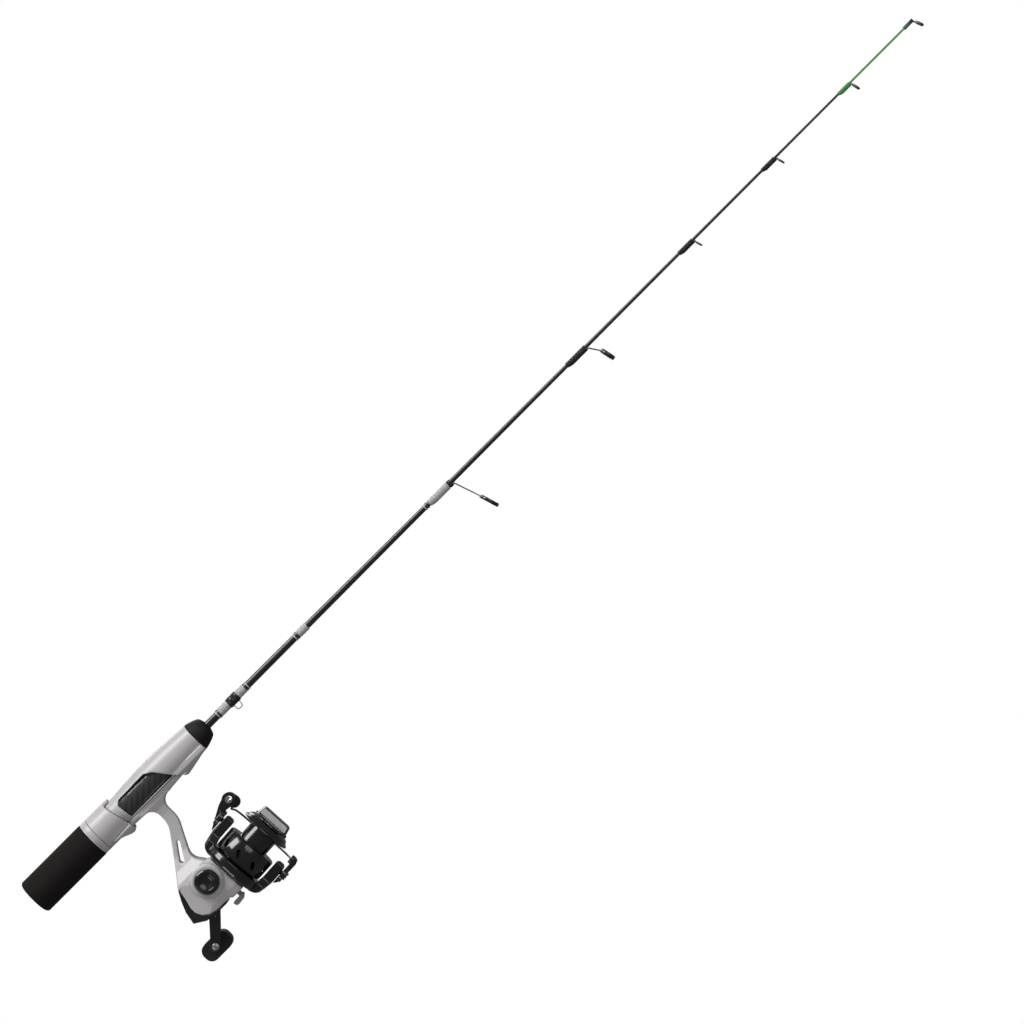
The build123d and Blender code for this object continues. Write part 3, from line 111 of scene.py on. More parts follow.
class Wire:
    """One output of a node, whose arithmetic adds Math nodes."""

    def __init__(self, graph: "Graph", socket: bpy.types.NodeSocket) -> None:
        """Keeps the socket and the graph it belongs to."""
        self.graph = graph
        self.socket = socket

    def out(self, name: str) -> "Wire":
        """Another output of the same node, by name."""
        return Wire(self.graph, self.socket.node.outputs[name])

    def math(self, operation: str, *others: "Value") -> "Wire":
        """This value and others through one Math node."""
        return self.graph.math(operation, self, *others)

    def __add__(self, other: "Value") -> "Wire":
        """self + other."""
        return self.math("ADD", other)

    def __radd__(self, other: float) -> "Wire":
        """other + self."""
        return self.math("ADD", other)

    def __sub__(self, other: "Value") -> "Wire":
        """self - other."""
        return self.math("SUBTRACT", other)

    def __rsub__(self, other: float) -> "Wire":
        """other - self."""
        return self.graph.math("SUBTRACT", other, self)

    def __mul__(self, other: "Value") -> "Wire":
        """self * other."""
        return self.math("MULTIPLY", other)

    def __rmul__(self, other: float) -> "Wire":
        """other * self."""
        return self.math("MULTIPLY", other)

    def __truediv__(self, other: "Value") -> "Wire":
        """self / other."""
        return self.math("DIVIDE", other)

    def __lt__(self, other: "Value") -> "Wire":
        """1 where self is less than other, else 0."""
        return self.math("LESS_THAN", other)

    def __gt__(self, other: "Value") -> "Wire":
        """1 where self is more than other, else 0."""
        return self.math("GREATER_THAN", other)


Value = Union[Wire, float, int, str, bool, Sequence[float], bpy.types.ID]


class Graph:
    """A shader or geometry tree that is built by typed calls."""

    def __init__(self, tree: bpy.types.NodeTree) -> None:
        """Keeps the tree."""
        self.tree = tree

    def node(
        self,
        kind: str,
        settings: Mapping[str, Any] | None = None,
        inputs: Mapping[str | int, Value] | None = None,
        output: int | None = None,
    ) -> Wire:
        """Adds a node.

        Args:
            kind: The node's type name.
            settings: Its own settings, set before its sockets; "stops" fills a colour ramp.
            inputs: Values or wires by socket name or index.
            output: Which output to return, or None for the first one in use.

        Returns:
            The chosen output.
        """
        made = self.tree.nodes.new(kind)
        for key, value in (settings or {}).items():
            if key == "stops":
                self._set_stops(made.color_ramp, value)
            else:
                setattr(made, key, value)
        for key, value in (inputs or {}).items():
            if isinstance(value, Wire):
                self.tree.links.new(value.socket, made.inputs[key])
            else:
                made.inputs[key].default_value = value
        if output is not None:
            return Wire(self, made.outputs[output])
        used = [s for s in made.outputs if s.enabled]
        return Wire(self, (used or list(made.outputs) or [made.inputs[0]])[0])

    def _set_stops(self, ramp: bpy.types.ColorRamp, stops: Sequence[tuple[float, float]]) -> None:
        """Fills a ramp with (position, grey level) stops."""
        while len(ramp.elements) < len(stops):
            ramp.elements.new(1.0)
        for element, (position, level) in zip(ramp.elements, stops):
            element.position = position
            element.color = (level, level, level, 1.0)

    def math(self, operation: str, *values: Value) -> Wire:
        """One Math node over the values."""
        return self.node("ShaderNodeMath", {"operation": operation}, dict(enumerate(values)))

    def vector(self, operation: str, *values: Value) -> Wire:
        """One Vector Math node over the values."""
        return self.node("ShaderNodeVectorMath", {"operation": operation}, dict(enumerate(values)))

    def mix(self, factor: Value, first: Value, second: Value) -> Wire:
        """Colour between two colours."""
        return self.node(
            "ShaderNodeMix",
            {"data_type": "RGBA"},
            {0: factor, 6: _rgba(first), 7: _rgba(second)},
            output=2,
        )


def _rgba(colour: Value) -> Value:
    """A colour with its alpha, or the wire as it is."""
    if isinstance(colour, Wire):
        return colour
    return (*colour, 1.0)


# Finishes


class Coordinate(Enum):
    """What a pattern is laid out on."""

    OBJECT = "Object"
    SURFACE = "UV"


@dataclass(frozen=True)
class Finish:
    """A surface finish, and the material slot it stands for."""

    slot: str
    colour: Colour
    roughness: float
    coat: float = 0.0
    coat_roughness: float = 0.05
    metallic: float = 0.0
    specular: float = 0.5
    glow: float = 0.0

    def build(self) -> bpy.types.Material:
        """Makes the material.

        Returns:
            The material, named after the slot.
        """
        material = bpy.data.materials.new(self.slot)
        material.use_nodes = True
        material.node_tree.nodes.clear()
        graph = Graph(material.node_tree)
        colour, roughness, height, depth = self.surface(graph)
        inputs: dict[str | int, Value] = {
            "Base Color": colour,
            "Roughness": roughness,
            "Metallic": self.metallic,
            "Specular IOR Level": self.specular,
            "Coat Weight": self.coat,
            "Coat Roughness": self.coat_roughness,
            "Emission Color": (1.0, 1.0, 1.0, 1.0),
            "Emission Strength": self.glow,
        }
        if height is not None:
            bump = {"Strength": 1.0, "Distance": depth, "Height": height}
            inputs["Normal"] = graph.node("ShaderNodeBump", None, bump)
        shader = graph.node("ShaderNodeBsdfPrincipled", None, inputs)
        graph.node("ShaderNodeOutputMaterial", None, {"Surface": shader})
        return material

    def where(self, graph: Graph, coordinate: Coordinate = Coordinate.OBJECT) -> Wire:
        """The point on the piece, in metres, or its place on the unrolled surface."""
        return graph.node("ShaderNodeTexCoord").out(coordinate.value)

    def noise(self, graph: Graph, at: Wire, size: float, detail: float = 2.0) -> Wire:
        """Noise from 0 to 1 whose blotches are about size metres across."""
        inputs = {"Vector": at, "Scale": 1.0 / size, "Detail": detail, "Roughness": 0.55}
        return graph.node("ShaderNodeTexNoise", None, inputs, output=0)

    def shade(self, graph: Graph, amount: Wire, low: float = 0.8, high: float = 1.2) -> Wire:
        """The finish's colour, from low to high times as bright as amount goes from 0 to 1.

        Args:
            graph: The material's tree.
            amount: Where between the two the colour is, from 0 to 1.
            low: Brightness at 0.
            high: Brightness at 1.

        Returns:
            The shaded colour.
        """
        dark = tuple(c * low for c in self.colour)
        light = tuple(min(1.0, c * high) for c in self.colour)
        return graph.mix(amount, dark, light)

    def surface(self, graph: Graph) -> tuple[Value, Value, Wire | None, float]:
        """Colour, roughness, bump height and bump depth of the finish."""
        raise NotImplementedError


@dataclass(frozen=True)
class Moulded(Finish):
    """Injection moulded or lacquered skin: faint orange peel, scuffs and a slow change of shade."""

    peel: float = 0.9 * MM
    peel_depth: float = 0.012 * MM
    shade_range: float = 0.04

    def surface(self, graph: Graph) -> tuple[Value, Value, Wire | None, float]:
        """Colour, roughness, bump height and bump depth of the finish.

        Args:
            graph: The material's tree.

        Returns:
            Base colour, roughness, bump height or None, and bump depth in metres.
        """
        at = self.where(graph)
        peel = self.noise(graph, at, self.peel)
        cloud = self.noise(graph, at, 18 * MM, 4.0)
        marks = self.noise(graph, at, 2.6 * MM, 6.0)
        scuff = graph.node("ShaderNodeValToRGB", {"stops": [(0.55, 0.0), (0.8, 1.0)]}, {0: marks})
        colour = self.shade(graph, cloud, 1 - self.shade_range, 1 + self.shade_range)
        roughness = self.roughness + 0.08 * cloud + 0.07 * scuff
        return colour, roughness, peel, self.peel_depth


@dataclass(frozen=True)
class Parted(Moulded):
    """Moulded skin of the gear case, with the round groove about the gear's axis on its two sides, and
    painted shade on the disc inside the groove.
    """

    centre: tuple[float, float, float] = (0.0, 0.0, 0.0)
    groove_r: float = 10.7 * MM
    groove_half: float = 0.3 * MM
    side: float = 13.0 * MM

    def surface(self, graph: Graph) -> tuple[Value, Value, Wire | None, float]:
        """Colour, roughness, bump height and bump depth of the finish.

        Args:
            graph: The material's tree.

        Returns:
            Base colour, roughness, bump height or None, and bump depth in metres.
        """
        colour, roughness, peel, depth = super().surface(graph)
        at = graph.vector("SUBTRACT", self.where(graph), self.centre)
        parts = graph.node("ShaderNodeSeparateXYZ", None, {0: at})
        x, y, z = parts.out("X"), parts.out("Y"), parts.out("Z")
        r = graph.math("SQRT", x * x + z * z)
        away = graph.math("ABSOLUTE", r - self.groove_r) / self.groove_half
        line = graph.math("MAXIMUM", 1 - away, 0.0) * (graph.math("ABSOLUTE", y) > self.side)
        # Painted shade: this mask picks the disc inside the groove on both sides of the case.
        inside = (r < self.groove_r) * (graph.math("ABSOLUTE", y) > self.side)
        shaded = graph.mix(line * 0.55, colour, (0.10, 0.10, 0.105))
        # Painted shade: the disc inside the groove is drawn a tenth of the way towards a darker grey.
        painted_boss_shade = graph.mix(inside * 0.10, shaded, (0.35, 0.35, 0.36))
        return painted_boss_shade, roughness, peel - 2.0 * line, depth


@dataclass(frozen=True)
class Foam(Finish):
    """Closed-cell foam: small open cells in a dull skin, with paler ground marks."""

    cell: float = 0.45 * MM

    def surface(self, graph: Graph) -> tuple[Value, Value, Wire | None, float]:
        """Colour, roughness, bump height and bump depth of the finish.

        Args:
            graph: The material's tree.

        Returns:
            Base colour, roughness, bump height or None, and bump depth in metres.
        """
        at = self.where(graph)
        cells = graph.node("ShaderNodeTexVoronoi", None, {"Vector": at, "Scale": 1 / self.cell}, output=0)
        grain = self.noise(graph, at, 0.2 * MM, 3.0)
        cloud = self.noise(graph, at, 9 * MM, 4.0)
        colour = self.shade(graph, 0.5 * cells + 0.5 * cloud, 0.55, 1.5)
        height = cells + 0.5 * grain
        return colour, self.roughness + 0.08 * grain, height, 0.07 * MM


@dataclass(frozen=True)
class Twill(Finish):
    """Carbon cloth under clear coat: a two-by-two twill on the unrolled surface."""

    tow: float = 1.25 * MM

    def surface(self, graph: Graph) -> tuple[Value, Value, Wire | None, float]:
        """Colour, roughness, bump height and bump depth of the finish.

        Args:
            graph: The material's tree.

        Returns:
            Base colour, roughness, bump height or None, and bump depth in metres.
        """
        at = graph.node("ShaderNodeSeparateXYZ", None, {0: self.where(graph, Coordinate.SURFACE)})
        u, v = at.out("X") / self.tow, at.out("Y") / self.tow
        column, row = graph.math("FLOOR", u), graph.math("FLOOR", v)
        step = graph.math("FLOORED_MODULO", column + row, 4.0)
        over = step < 2.0
        across = graph.math("FRACT", v) - 0.5
        along = graph.math("FRACT", u) - 0.5
        crown_over = 1 - 3.2 * (across * across)
        crown_under = 1 - 3.2 * (along * along)
        crown = over * crown_over + (1 - over) * crown_under
        strand_over = graph.math("SINE", v * 44.0)
        strand_under = graph.math("SINE", u * 44.0)
        strand = over * strand_over + (1 - over) * strand_under
        light = 0.62 * over + 0.18 + 0.12 * strand
        colour = self.shade(graph, light * crown, 0.25, 2.4)
        roughness = self.roughness + 0.12 * (1 - over)
        return colour, roughness, crown + 0.15 * strand, 0.05 * MM


@dataclass(frozen=True)
class Lacquered(Finish):
    """Rod blank: paint under clear coat, with the faint spiral that the winding tape leaves."""

    pitch: float = 2.2 * MM

    def surface(self, graph: Graph) -> tuple[Value, Value, Wire | None, float]:
        """Colour, roughness, bump height and bump depth of the finish.

        Args:
            graph: The material's tree.

        Returns:
            Base colour, roughness, bump height or None, and bump depth in metres.
        """
        at = self.where(graph, Coordinate.SURFACE)
        parts = graph.node("ShaderNodeSeparateXYZ", None, {0: at})
        turns = parts.out("Y") / self.pitch + parts.out("X") * 60.0
        ridge = graph.math("PINGPONG", turns, 0.5) * 2.0
        cloud = self.noise(graph, self.where(graph), 7 * MM, 4.0)
        colour = self.shade(graph, 0.5 * ridge + 0.5 * cloud, 0.75, 1.3)
        return colour, self.roughness + 0.06 * cloud, ridge, 0.02 * MM


@dataclass(frozen=True)
class Thread(Finish):
    """Whipping thread soaked in clear epoxy: twisted strands whose shade varies a little."""

    strand: float = 0.3 * MM

    def surface(self, graph: Graph) -> tuple[Value, Value, Wire | None, float]:
        """Colour, roughness, bump height and bump depth of the finish.

        Args:
            graph: The material's tree.

        Returns:
            Base colour, roughness, bump height or None, and bump depth in metres.
        """
        at = self.where(graph)
        parts = graph.node("ShaderNodeSeparateXYZ", None, {0: at})
        twist = graph.math("SINE", parts.out("X") * (math.tau / self.strand) + parts.out("Z") * 5200.0)
        fleck = self.noise(graph, at, 0.5 * MM, 3.0)
        colour = self.shade(graph, 0.6 * fleck + 0.2 * twist + 0.2, 0.82, 1.15)
        return colour, self.roughness + 0.1 * fleck, twist, 0.01 * MM


class Working(Enum):
    """How a metal surface was left."""

    BRUSHED = (0.05, 0.020)
    MACHINED = (0.09, 0.012)
    POLISHED = (0.60, 0.002)
    CAST = (0.45, 0.060)

    @property
    def grain(self) -> float:
        """Width of one mark, in millimetres."""
        return self.value[0]

    @property
    def depth(self) -> float:
        """Depth of one mark, in millimetres."""
        return self.value[1]


@dataclass(frozen=True)
class Metal(Finish):
    """Bare or plated metal with the marks of its working, and tarnish in slow patches."""

    working: Working = Working.BRUSHED
    metallic: float = 1.0

    def surface(self, graph: Graph) -> tuple[Value, Value, Wire | None, float]:
        """Colour, roughness, bump height and bump depth of the finish.

        Args:
            graph: The material's tree.

        Returns:
            Base colour, roughness, bump height or None, and bump depth in metres.
        """
        at = self.where(graph)
        stretched = graph.vector("MULTIPLY", at, (0.12, 1.0, 1.0))
        marks = self.noise(graph, stretched, self.working.grain * MM, 3.0)
        patches = self.noise(graph, at, 3.5 * MM, 5.0)
        colour = self.shade(graph, 0.5 * marks + 0.5 * patches, 0.8, 1.15)
        return colour, self.roughness + 0.12 * patches, marks, self.working.depth * MM


@dataclass(frozen=True)
class SoftRubber(Finish):
    """Soft-touch rubber: a fine sand texture with a dusty bloom."""

    def surface(self, graph: Graph) -> tuple[Value, Value, Wire | None, float]:
        """Colour, roughness, bump height and bump depth of the finish.

        Args:
            graph: The material's tree.

        Returns:
            Base colour, roughness, bump height or None, and bump depth in metres.
        """
        at = self.where(graph)
        sand = self.noise(graph, at, 0.16 * MM, 2.0)
        bloom = self.noise(graph, at, 5 * MM, 5.0)
        return self.shade(graph, bloom, 0.75, 1.35), self.roughness + 0.1 * bloom, sand, 0.03 * MM


WHITE = (0.540, 0.523, 0.530)
BLACK = (0.0095, 0.0082, 0.0078)
GREEN = (0.095, 0.40, 0.085)
GEAR_CENTRE = tuple(next(j["pos_m"] for j in frame["joints"] if j["name"] == "crank_spin"))


def make_finishes() -> dict[str, bpy.types.Material]:
    """Builds every finish.

    Returns:
        Materials by the name of their slot; "case_white" and "cover_black" are the gear case's own.
    """
    finishes: list[Finish] = [
        Foam("foam", (0.0110, 0.0090, 0.0085), 0.85, specular=0.2),
        Moulded("white_plastic", WHITE, 0.30),
        Parted("case_white", WHITE, 0.30, centre=GEAR_CENTRE),
        Twill("carbon_weave", (0.020, 0.019, 0.021), 0.34, coat=0.8),
        Lacquered("black_blank", (0.012, 0.011, 0.011), 0.34, coat=0.6),
        Lacquered("green_blank", GREEN, 0.34, coat=0.6),
        Moulded("filler", (0.10, 0.10, 0.10), 0.6),
        Moulded("nose_rubber", (0.0085, 0.0070, 0.0065), 0.6, specular=0.3),
        Moulded("pale_trim", (0.50, 0.50, 0.51), 0.22, coat=0.6),
        Moulded("grey_trim", (0.035, 0.035, 0.036), 0.25, coat=0.6),
        Thread("white_thread", (0.55, 0.55, 0.56), 0.38, coat=0.7),
        Thread("black_thread", (0.010, 0.010, 0.010), 0.38, coat=0.7),
        Thread("green_thread", GREEN, 0.38, coat=0.7),
        Moulded("black_wire", (0.012, 0.012, 0.012), 0.28, coat=0.5),
        Metal("grey_wire", (0.17, 0.17, 0.18), 0.34),
        Moulded("ring_ceramic", (0.014, 0.014, 0.016), 0.12, coat=0.7),
        Metal("steel", (0.50, 0.50, 0.51), 0.30),
        Metal("polished_steel", (0.66, 0.65, 0.64), 0.16, working=Working.POLISHED),
        Metal("gear_metal", (0.42, 0.42, 0.43), 0.45, working=Working.CAST),
        Metal("brass", (0.62, 0.45, 0.18), 0.30, working=Working.MACHINED),
        Moulded("black_plastic", BLACK, 0.16, coat=0.35),
        Moulded("cover_black", BLACK, 0.34, coat=0.1, specular=0.35),
        Moulded("lever_grey", (0.33, 0.335, 0.35), 0.34),
        Moulded("black_metal", BLACK, 0.14, coat=0.5),
        Foam("washer_felt", (0.25, 0.21, 0.14), 0.9),
        Metal("silver_plate", (0.70, 0.695, 0.71), 0.42, metallic=0.35),
        SoftRubber("knob_rubber", (0.020, 0.0165, 0.0155), 0.55, specular=0.35),
    ]
    return {finish.slot: finish.build() for finish in finishes}


# Geometry trees


SOCKETS = {float: "NodeSocketFloat", int: "NodeSocketInt"}
BEND = "bend"


class Recipe:
    """A Geometry Nodes tree with named sizes, made into plain meshes."""

    def __init__(self, name: str, sizes: Mapping[str, float | int]) -> None:
        """Starts the tree with its inputs and their default sizes.

        Args:
            name: The tree's name.
            sizes: Default size of each input, by name.
        """
        self.name = name
        self.tree = bpy.data.node_groups.new(name, "GeometryNodeTree")
        face = self.tree.interface
        face.new_socket("Geometry", in_out="OUTPUT", socket_type="NodeSocketGeometry")
        face.new_socket("Geometry", in_out="INPUT", socket_type="NodeSocketGeometry")
        material = face.new_socket("Material", in_out="INPUT", socket_type="NodeSocketMaterial")
        self.ids = {"Material": material.identifier}
        for size, default in sizes.items():
            socket = face.new_socket(size, in_out="INPUT", socket_type=SOCKETS[type(default)])
            socket.default_value = default
            self.ids[size] = socket.identifier
        self.graph = Graph(self.tree)
        self.inputs = self.graph.node("NodeGroupInput")

    def size(self, name: str) -> Wire:
        """A named input of the tree."""
        return self.inputs.out(name)

    def end(self, geometry: Wire) -> None:
        """Closes the tree: smooth faces, real geometry and the material.

        Args:
            geometry: What the tree has made.
        """
        smooth = self.graph.node("GeometryNodeSetShadeSmooth", None, {0: geometry})
        real = self.graph.node("GeometryNodeRealizeInstances", None, {0: smooth})
        inputs = {"Geometry": real, "Material": self.size("Material")}
        dressed = self.graph.node("GeometryNodeSetMaterial", None, inputs)
        self.graph.node("NodeGroupOutput", None, {0: dressed})

    def make(
        self, base: bpy.types.Mesh, material: bpy.types.Material, **sizes: float | int
    ) -> bpy.types.Mesh:
        """Runs the tree on a mesh.

        Args:
            base: The mesh that the tree starts from.
            material: What its result is made of.
            **sizes: The tree's named sizes, with _ for each space.

        Returns:
            The result as a plain mesh.
        """
        holder = bpy.data.objects.new(self.name, base)
        bpy.context.scene.collection.objects.link(holder)
        modifier = holder.modifiers.new(self.name, "NODES")
        modifier.node_group = self.tree
        modifier[self.ids["Material"]] = material
        for size, value in sizes.items():
            modifier[self.ids[size.replace("_", " ")]] = value
        mesh = evaluated(holder)
        holder.modifiers.clear()
        bpy.data.objects.remove(holder)
        return mesh


def evaluated(holder: bpy.types.Object) -> bpy.types.Mesh:
    """The plain mesh of an object with its modifiers applied.

    Args:
        holder: The object.

    Returns:
        The mesh, which no modifier changes any more.
    """
    graph = bpy.context.evaluated_depsgraph_get()
    graph.update()
    return bpy.data.meshes.new_from_object(holder.evaluated_get(graph), depsgraph=graph)


def wire_recipe() -> Recipe:
    """Tree that runs round wire along a chain of edges, bent to the radius each of its points carries.

    Returns:
        The tree, with its wire radius, sides and bend steps as inputs.
    """
    recipe = Recipe("bent_wire", {"Wire radius": 0.4 * MM, "Sides": 16, "Bend steps": 12})
    graph = recipe.graph
    line = graph.node("GeometryNodeMeshToCurve", None, {0: recipe.inputs.out("Geometry")})
    radius = graph.node("GeometryNodeInputNamedAttribute", {"data_type": "FLOAT"}, {"Name": BEND})
    bend = {"Curve": line, "Count": recipe.size("Bend steps"), "Radius": radius, "Limit Radius": True}
    bent = graph.node("GeometryNodeFilletCurve", {"mode": "POLY"}, bend)
    section = {"Resolution": recipe.size("Sides"), "Radius": recipe.size("Wire radius")}
    recipe.end(swept(graph, bent, section))
    return recipe


def swept(graph: Graph, path: Wire, section: dict[str | int, Value]) -> Wire:
    """Round bar along a path, with closed ends.

    Args:
        graph: The tree.
        path: The curve that the bar follows.
        section: The circle's inputs, among them its radius.

    Returns:
        The bar.
    """
    ring = graph.node("GeometryNodeCurvePrimitiveCircle", {"mode": "RADIUS"}, section)
    bar = {"Curve": path, "Profile Curve": ring, "Fill Caps": True}
    return graph.node("GeometryNodeCurveToMesh", None, bar)


def wrap_recipe() -> Recipe:
    """Tree that winds thread along X, bulging downward over a guide's foot.

    Returns:
        The tree, with the length, radius, turns, thread radius and foot bulge as inputs.
    """
    sizes = {
        "Length": 7 * MM, "Radius": 3 * MM, "Turns": 20.0, "Thread radius": 0.15 * MM, "Foot bulge": 0.0,
    }
    recipe = Recipe("thread_wrap", sizes)
    graph = recipe.graph
    coil = {
        "Resolution": 30, "Rotations": recipe.size("Turns"), "Height": recipe.size("Length"),
        "Start Radius": recipe.size("Radius"), "End Radius": recipe.size("Radius"),
    }
    spiral = graph.node("GeometryNodeCurveSpiral", None, coil)
    turned_down = {"Geometry": spiral, "Rotation": (0.0, math.pi / 2, 0.0)}
    laid = graph.node("GeometryNodeTransform", None, turned_down)
    at = graph.node("ShaderNodeSeparateXYZ", None, {0: graph.node("GeometryNodeInputPosition")})
    below = at.out("Z") < 0.0
    flare = graph.math("MINIMUM", at.out("X") / (0.22 * recipe.size("Length")), 1.0)
    drop = below * at.out("Z") * recipe.size("Foot bulge") * flare
    offset = graph.node("ShaderNodeCombineXYZ", None, {2: drop})
    shaped = graph.node("GeometryNodeSetPosition", None, {"Geometry": laid, "Offset": offset})
    recipe.end(swept(graph, shaped, {"Resolution": 5, "Radius": recipe.size("Thread radius")}))
    return recipe


def rim_recipe() -> Recipe:
    """Tree that sets copies of one rib around the X axis.

    Returns:
        The tree, with the count and the rim radius as inputs.
    """
    recipe = Recipe("rim_ribs", {"Count": 24, "Rim radius": 12 * MM})
    graph = recipe.graph
    dots = graph.node("GeometryNodePoints", None, {"Count": recipe.size("Count")})
    angle = graph.node("GeometryNodeInputIndex") / recipe.size("Count") * math.tau
    across = graph.math("COSINE", angle) * recipe.size("Rim radius")
    up = graph.math("SINE", angle) * recipe.size("Rim radius")
    place = graph.node("ShaderNodeCombineXYZ", None, {1: across, 2: up})
    ring = graph.node("GeometryNodeSetPosition", None, {"Geometry": dots, "Position": place})
    facing = graph.node("ShaderNodeCombineXYZ", None, {0: angle})
    copies = {"Points": ring, "Instance": recipe.inputs.out("Geometry"), "Rotation": facing}
    recipe.end(graph.node("GeometryNodeInstanceOnPoints", None, copies))
    return recipe


# Meshes


def rounded(outline: Outline, radius: float, steps: int = 4) -> Outline:
    """Rounds an outline's corners.

    Args:
        outline: Closed outline of (x, r) points.
        radius: Radius of the corners; those on the axis stay sharp.
        steps: Straight pieces in each arc.

    Returns:
        The rounded outline.
    """
    made: Outline = []
    count = len(outline)
    for i, here in enumerate(outline):
        p, a, b = Vector(here), Vector(outline[i - 1]), Vector(outline[(i + 1) % count])
        back, ahead = a - p, b - p
        if p.y < 1e-6 or back.length < TINY or ahead.length < TINY:
            made.append(here)
            continue
        angle = back.angle(ahead)
        if angle > STRAIGHT_ANGLE:
            made.append(here)
            continue
        reach = min(radius / math.tan(angle / 2), 0.45 * back.length, 0.45 * ahead.length)
        start, end = p + back.normalized() * reach, p + ahead.normalized() * reach
        for k in range(steps + 1):
            t = k / steps
            point = start * (1 - t) ** 2 + p * 2 * t * (1 - t) + end * t**2
            made.append((point.x, point.y))
    return made


def turned(outline: Outline, place: Matrix = Matrix(), sides: int = 96) -> bpy.types.Mesh:
    """Turns a closed outline of (x, r) points about X.

    Args:
        outline: The closed outline.
        place: Where the turned mesh goes.
        sides: Flats around the axis.

    Returns:
        A closed mesh whose UV map holds (distance around, distance along) in metres.
    """
    shape = bmesh.new()
    rings: list[list[bmesh.types.BMVert]] = []
    for x, r in outline:
        if r < TINY:
            rings.append([shape.verts.new((x, 0.0, 0.0))])
            continue
        angles = [math.tau * i / sides for i in range(sides)]
        rings.append([shape.verts.new((x, r * math.cos(a), r * math.sin(a))) for a in angles])
    layer = shape.loops.layers.uv.new("UVMap")
    widest = max(r for _, r in outline)
    for k, ring in enumerate(rings):
        other = rings[(k + 1) % len(rings)]
        if len(ring) == 1 and len(other) == 1:
            continue
        for i in range(sides):
            j = (i + 1) % sides
            corners = [(ring[i % len(ring)], i), (ring[j % len(ring)], i + 1)]
            corners += [(other[j % len(other)], i + 1), (other[i % len(other)], i)]
            seen: list[tuple[bmesh.types.BMVert, int]] = []
            for vert, step in corners:
                if all(vert is not s for s, _ in seen):
                    seen.append((vert, step))
            face = shape.faces.new([v for v, _ in seen])
            for loop, (vert, step) in zip(face.loops, seen):
                loop[layer].uv = (widest * math.tau * step / sides, vert.co.x)
    bmesh.ops.recalc_face_normals(shape, faces=shape.faces)
    return finished(shape, place)


def finished(shape: bmesh.types.BMesh, place: Matrix = Matrix()) -> bpy.types.Mesh:
    """Turns a bmesh into a placed mesh with smooth faces and sharp edges where it turns sharply.

    Args:
        shape: The bmesh, which is freed.
        place: Where the mesh goes.

    Returns:
        The mesh.
    """
    mesh = bpy.data.meshes.new("mesh")
    shape.to_mesh(mesh)
    shape.free()
    mesh.transform(place)
    return shaded(mesh)


def shaded(mesh: bpy.types.Mesh) -> bpy.types.Mesh:
    """Smooths a mesh's faces apart from its sharp edges.

    Args:
        mesh: The mesh, which is changed.

    Returns:
        The same mesh.
    """
    mesh.polygons.foreach_set("use_smooth", [True] * len(mesh.polygons))
    mesh.set_sharp_from_angle(angle=SMOOTH_ANGLE)
    mesh.update()
    return mesh


def joined(meshes: Iterable[bpy.types.Mesh]) -> bpy.types.Mesh:
    """Several meshes as one.

    Args:
        meshes: The meshes.

    Returns:
        A new mesh.
    """
    shape = bmesh.new()
    for mesh in meshes:
        shape.from_mesh(mesh)
    made = bpy.data.meshes.new("mesh")
    shape.to_mesh(made)
    shape.free()
    return shaded(made)


def chain(points: Sequence[tuple[float, float, float]], bends: Sequence[float] = ()) -> bpy.types.Mesh:
    """A mesh of edges.

    Args:
        points: What the edges join, in order.
        bends: The bend radius at each inner point, or none for a chain that isn't bent.

    Returns:
        The chain, whose points carry their bend radius.
    """
    mesh = bpy.data.meshes.new("chain")
    mesh.from_pydata(points, [(i, i + 1) for i in range(len(points) - 1)], [])
    radii = [0.0, *bends, 0.0] if bends else [0.0] * len(points)
    mesh.attributes.new(BEND, "FLOAT", "POINT").data.foreach_set("value", radii)
    return mesh


def welded(nodes: Sequence[str]) -> bpy.types.Mesh:
    """CAD nodes as one mesh whose triangles share their corners.

    Args:
        nodes: The CAD nodes, which are left as they are.

    Returns:
        A new mesh.
    """
    shape = bmesh.new()
    for node in nodes:
        shape.from_mesh(frame["nodes"][node].data)
    bmesh.ops.remove_doubles(shape, verts=shape.verts, dist=1e-6)
    return finished(shape)


def softened(nodes: Sequence[str], voxel: float, passes: int) -> bpy.types.Mesh:
    """CAD nodes with the soft edges of a moulding.

    Args:
        nodes: The CAD nodes.
        voxel: Size of the grid that the shape is cast on.
        passes: How many times it is smoothed.

    Returns:
        One closed mesh.
    """
    holder = bpy.data.objects.new("casting", welded(nodes))
    bpy.context.scene.collection.objects.link(holder)
    cast = holder.modifiers.new("cast", "REMESH")
    cast.mode = "VOXEL"
    cast.voxel_size = voxel
    cast.use_smooth_shade = True
    ease = holder.modifiers.new("ease", "SMOOTH")
    ease.factor = 0.5
    ease.iterations = passes
    mesh = evaluated(holder)
    holder.modifiers.clear()
    bpy.data.objects.remove(holder)
    mesh.polygons.foreach_set("use_smooth", [True] * len(mesh.polygons))
    return mesh


@dataclass(frozen=True)
class Extent:
    """How far a CAD node reaches along and around an axis."""

    start: float
    end: float
    radius: float
    bore: float


def extent(node: str, place: Matrix = Matrix()) -> Extent:
    """Measures a CAD node about the X axis of a place.

    Args:
        node: The CAD node.
        place: The place whose X axis is measured about.

    Returns:
        How far the node reaches.
    """
    back = place.inverted()
    points = [back @ v.co for v in frame["nodes"][node].data.vertices]
    radii = [math.hypot(p.y, p.z) for p in points]
    xs = [p.x for p in points]
    return Extent(min(xs), max(xs), max(radii), min(radii))


def along_y(x: float, z: float) -> Matrix:
    """Place whose X axis is the row's +Y, through (x, z)."""
    return Matrix.Translation((x, 0.0, z)) @ Matrix.Rotation(math.pi / 2, 4, "Z")


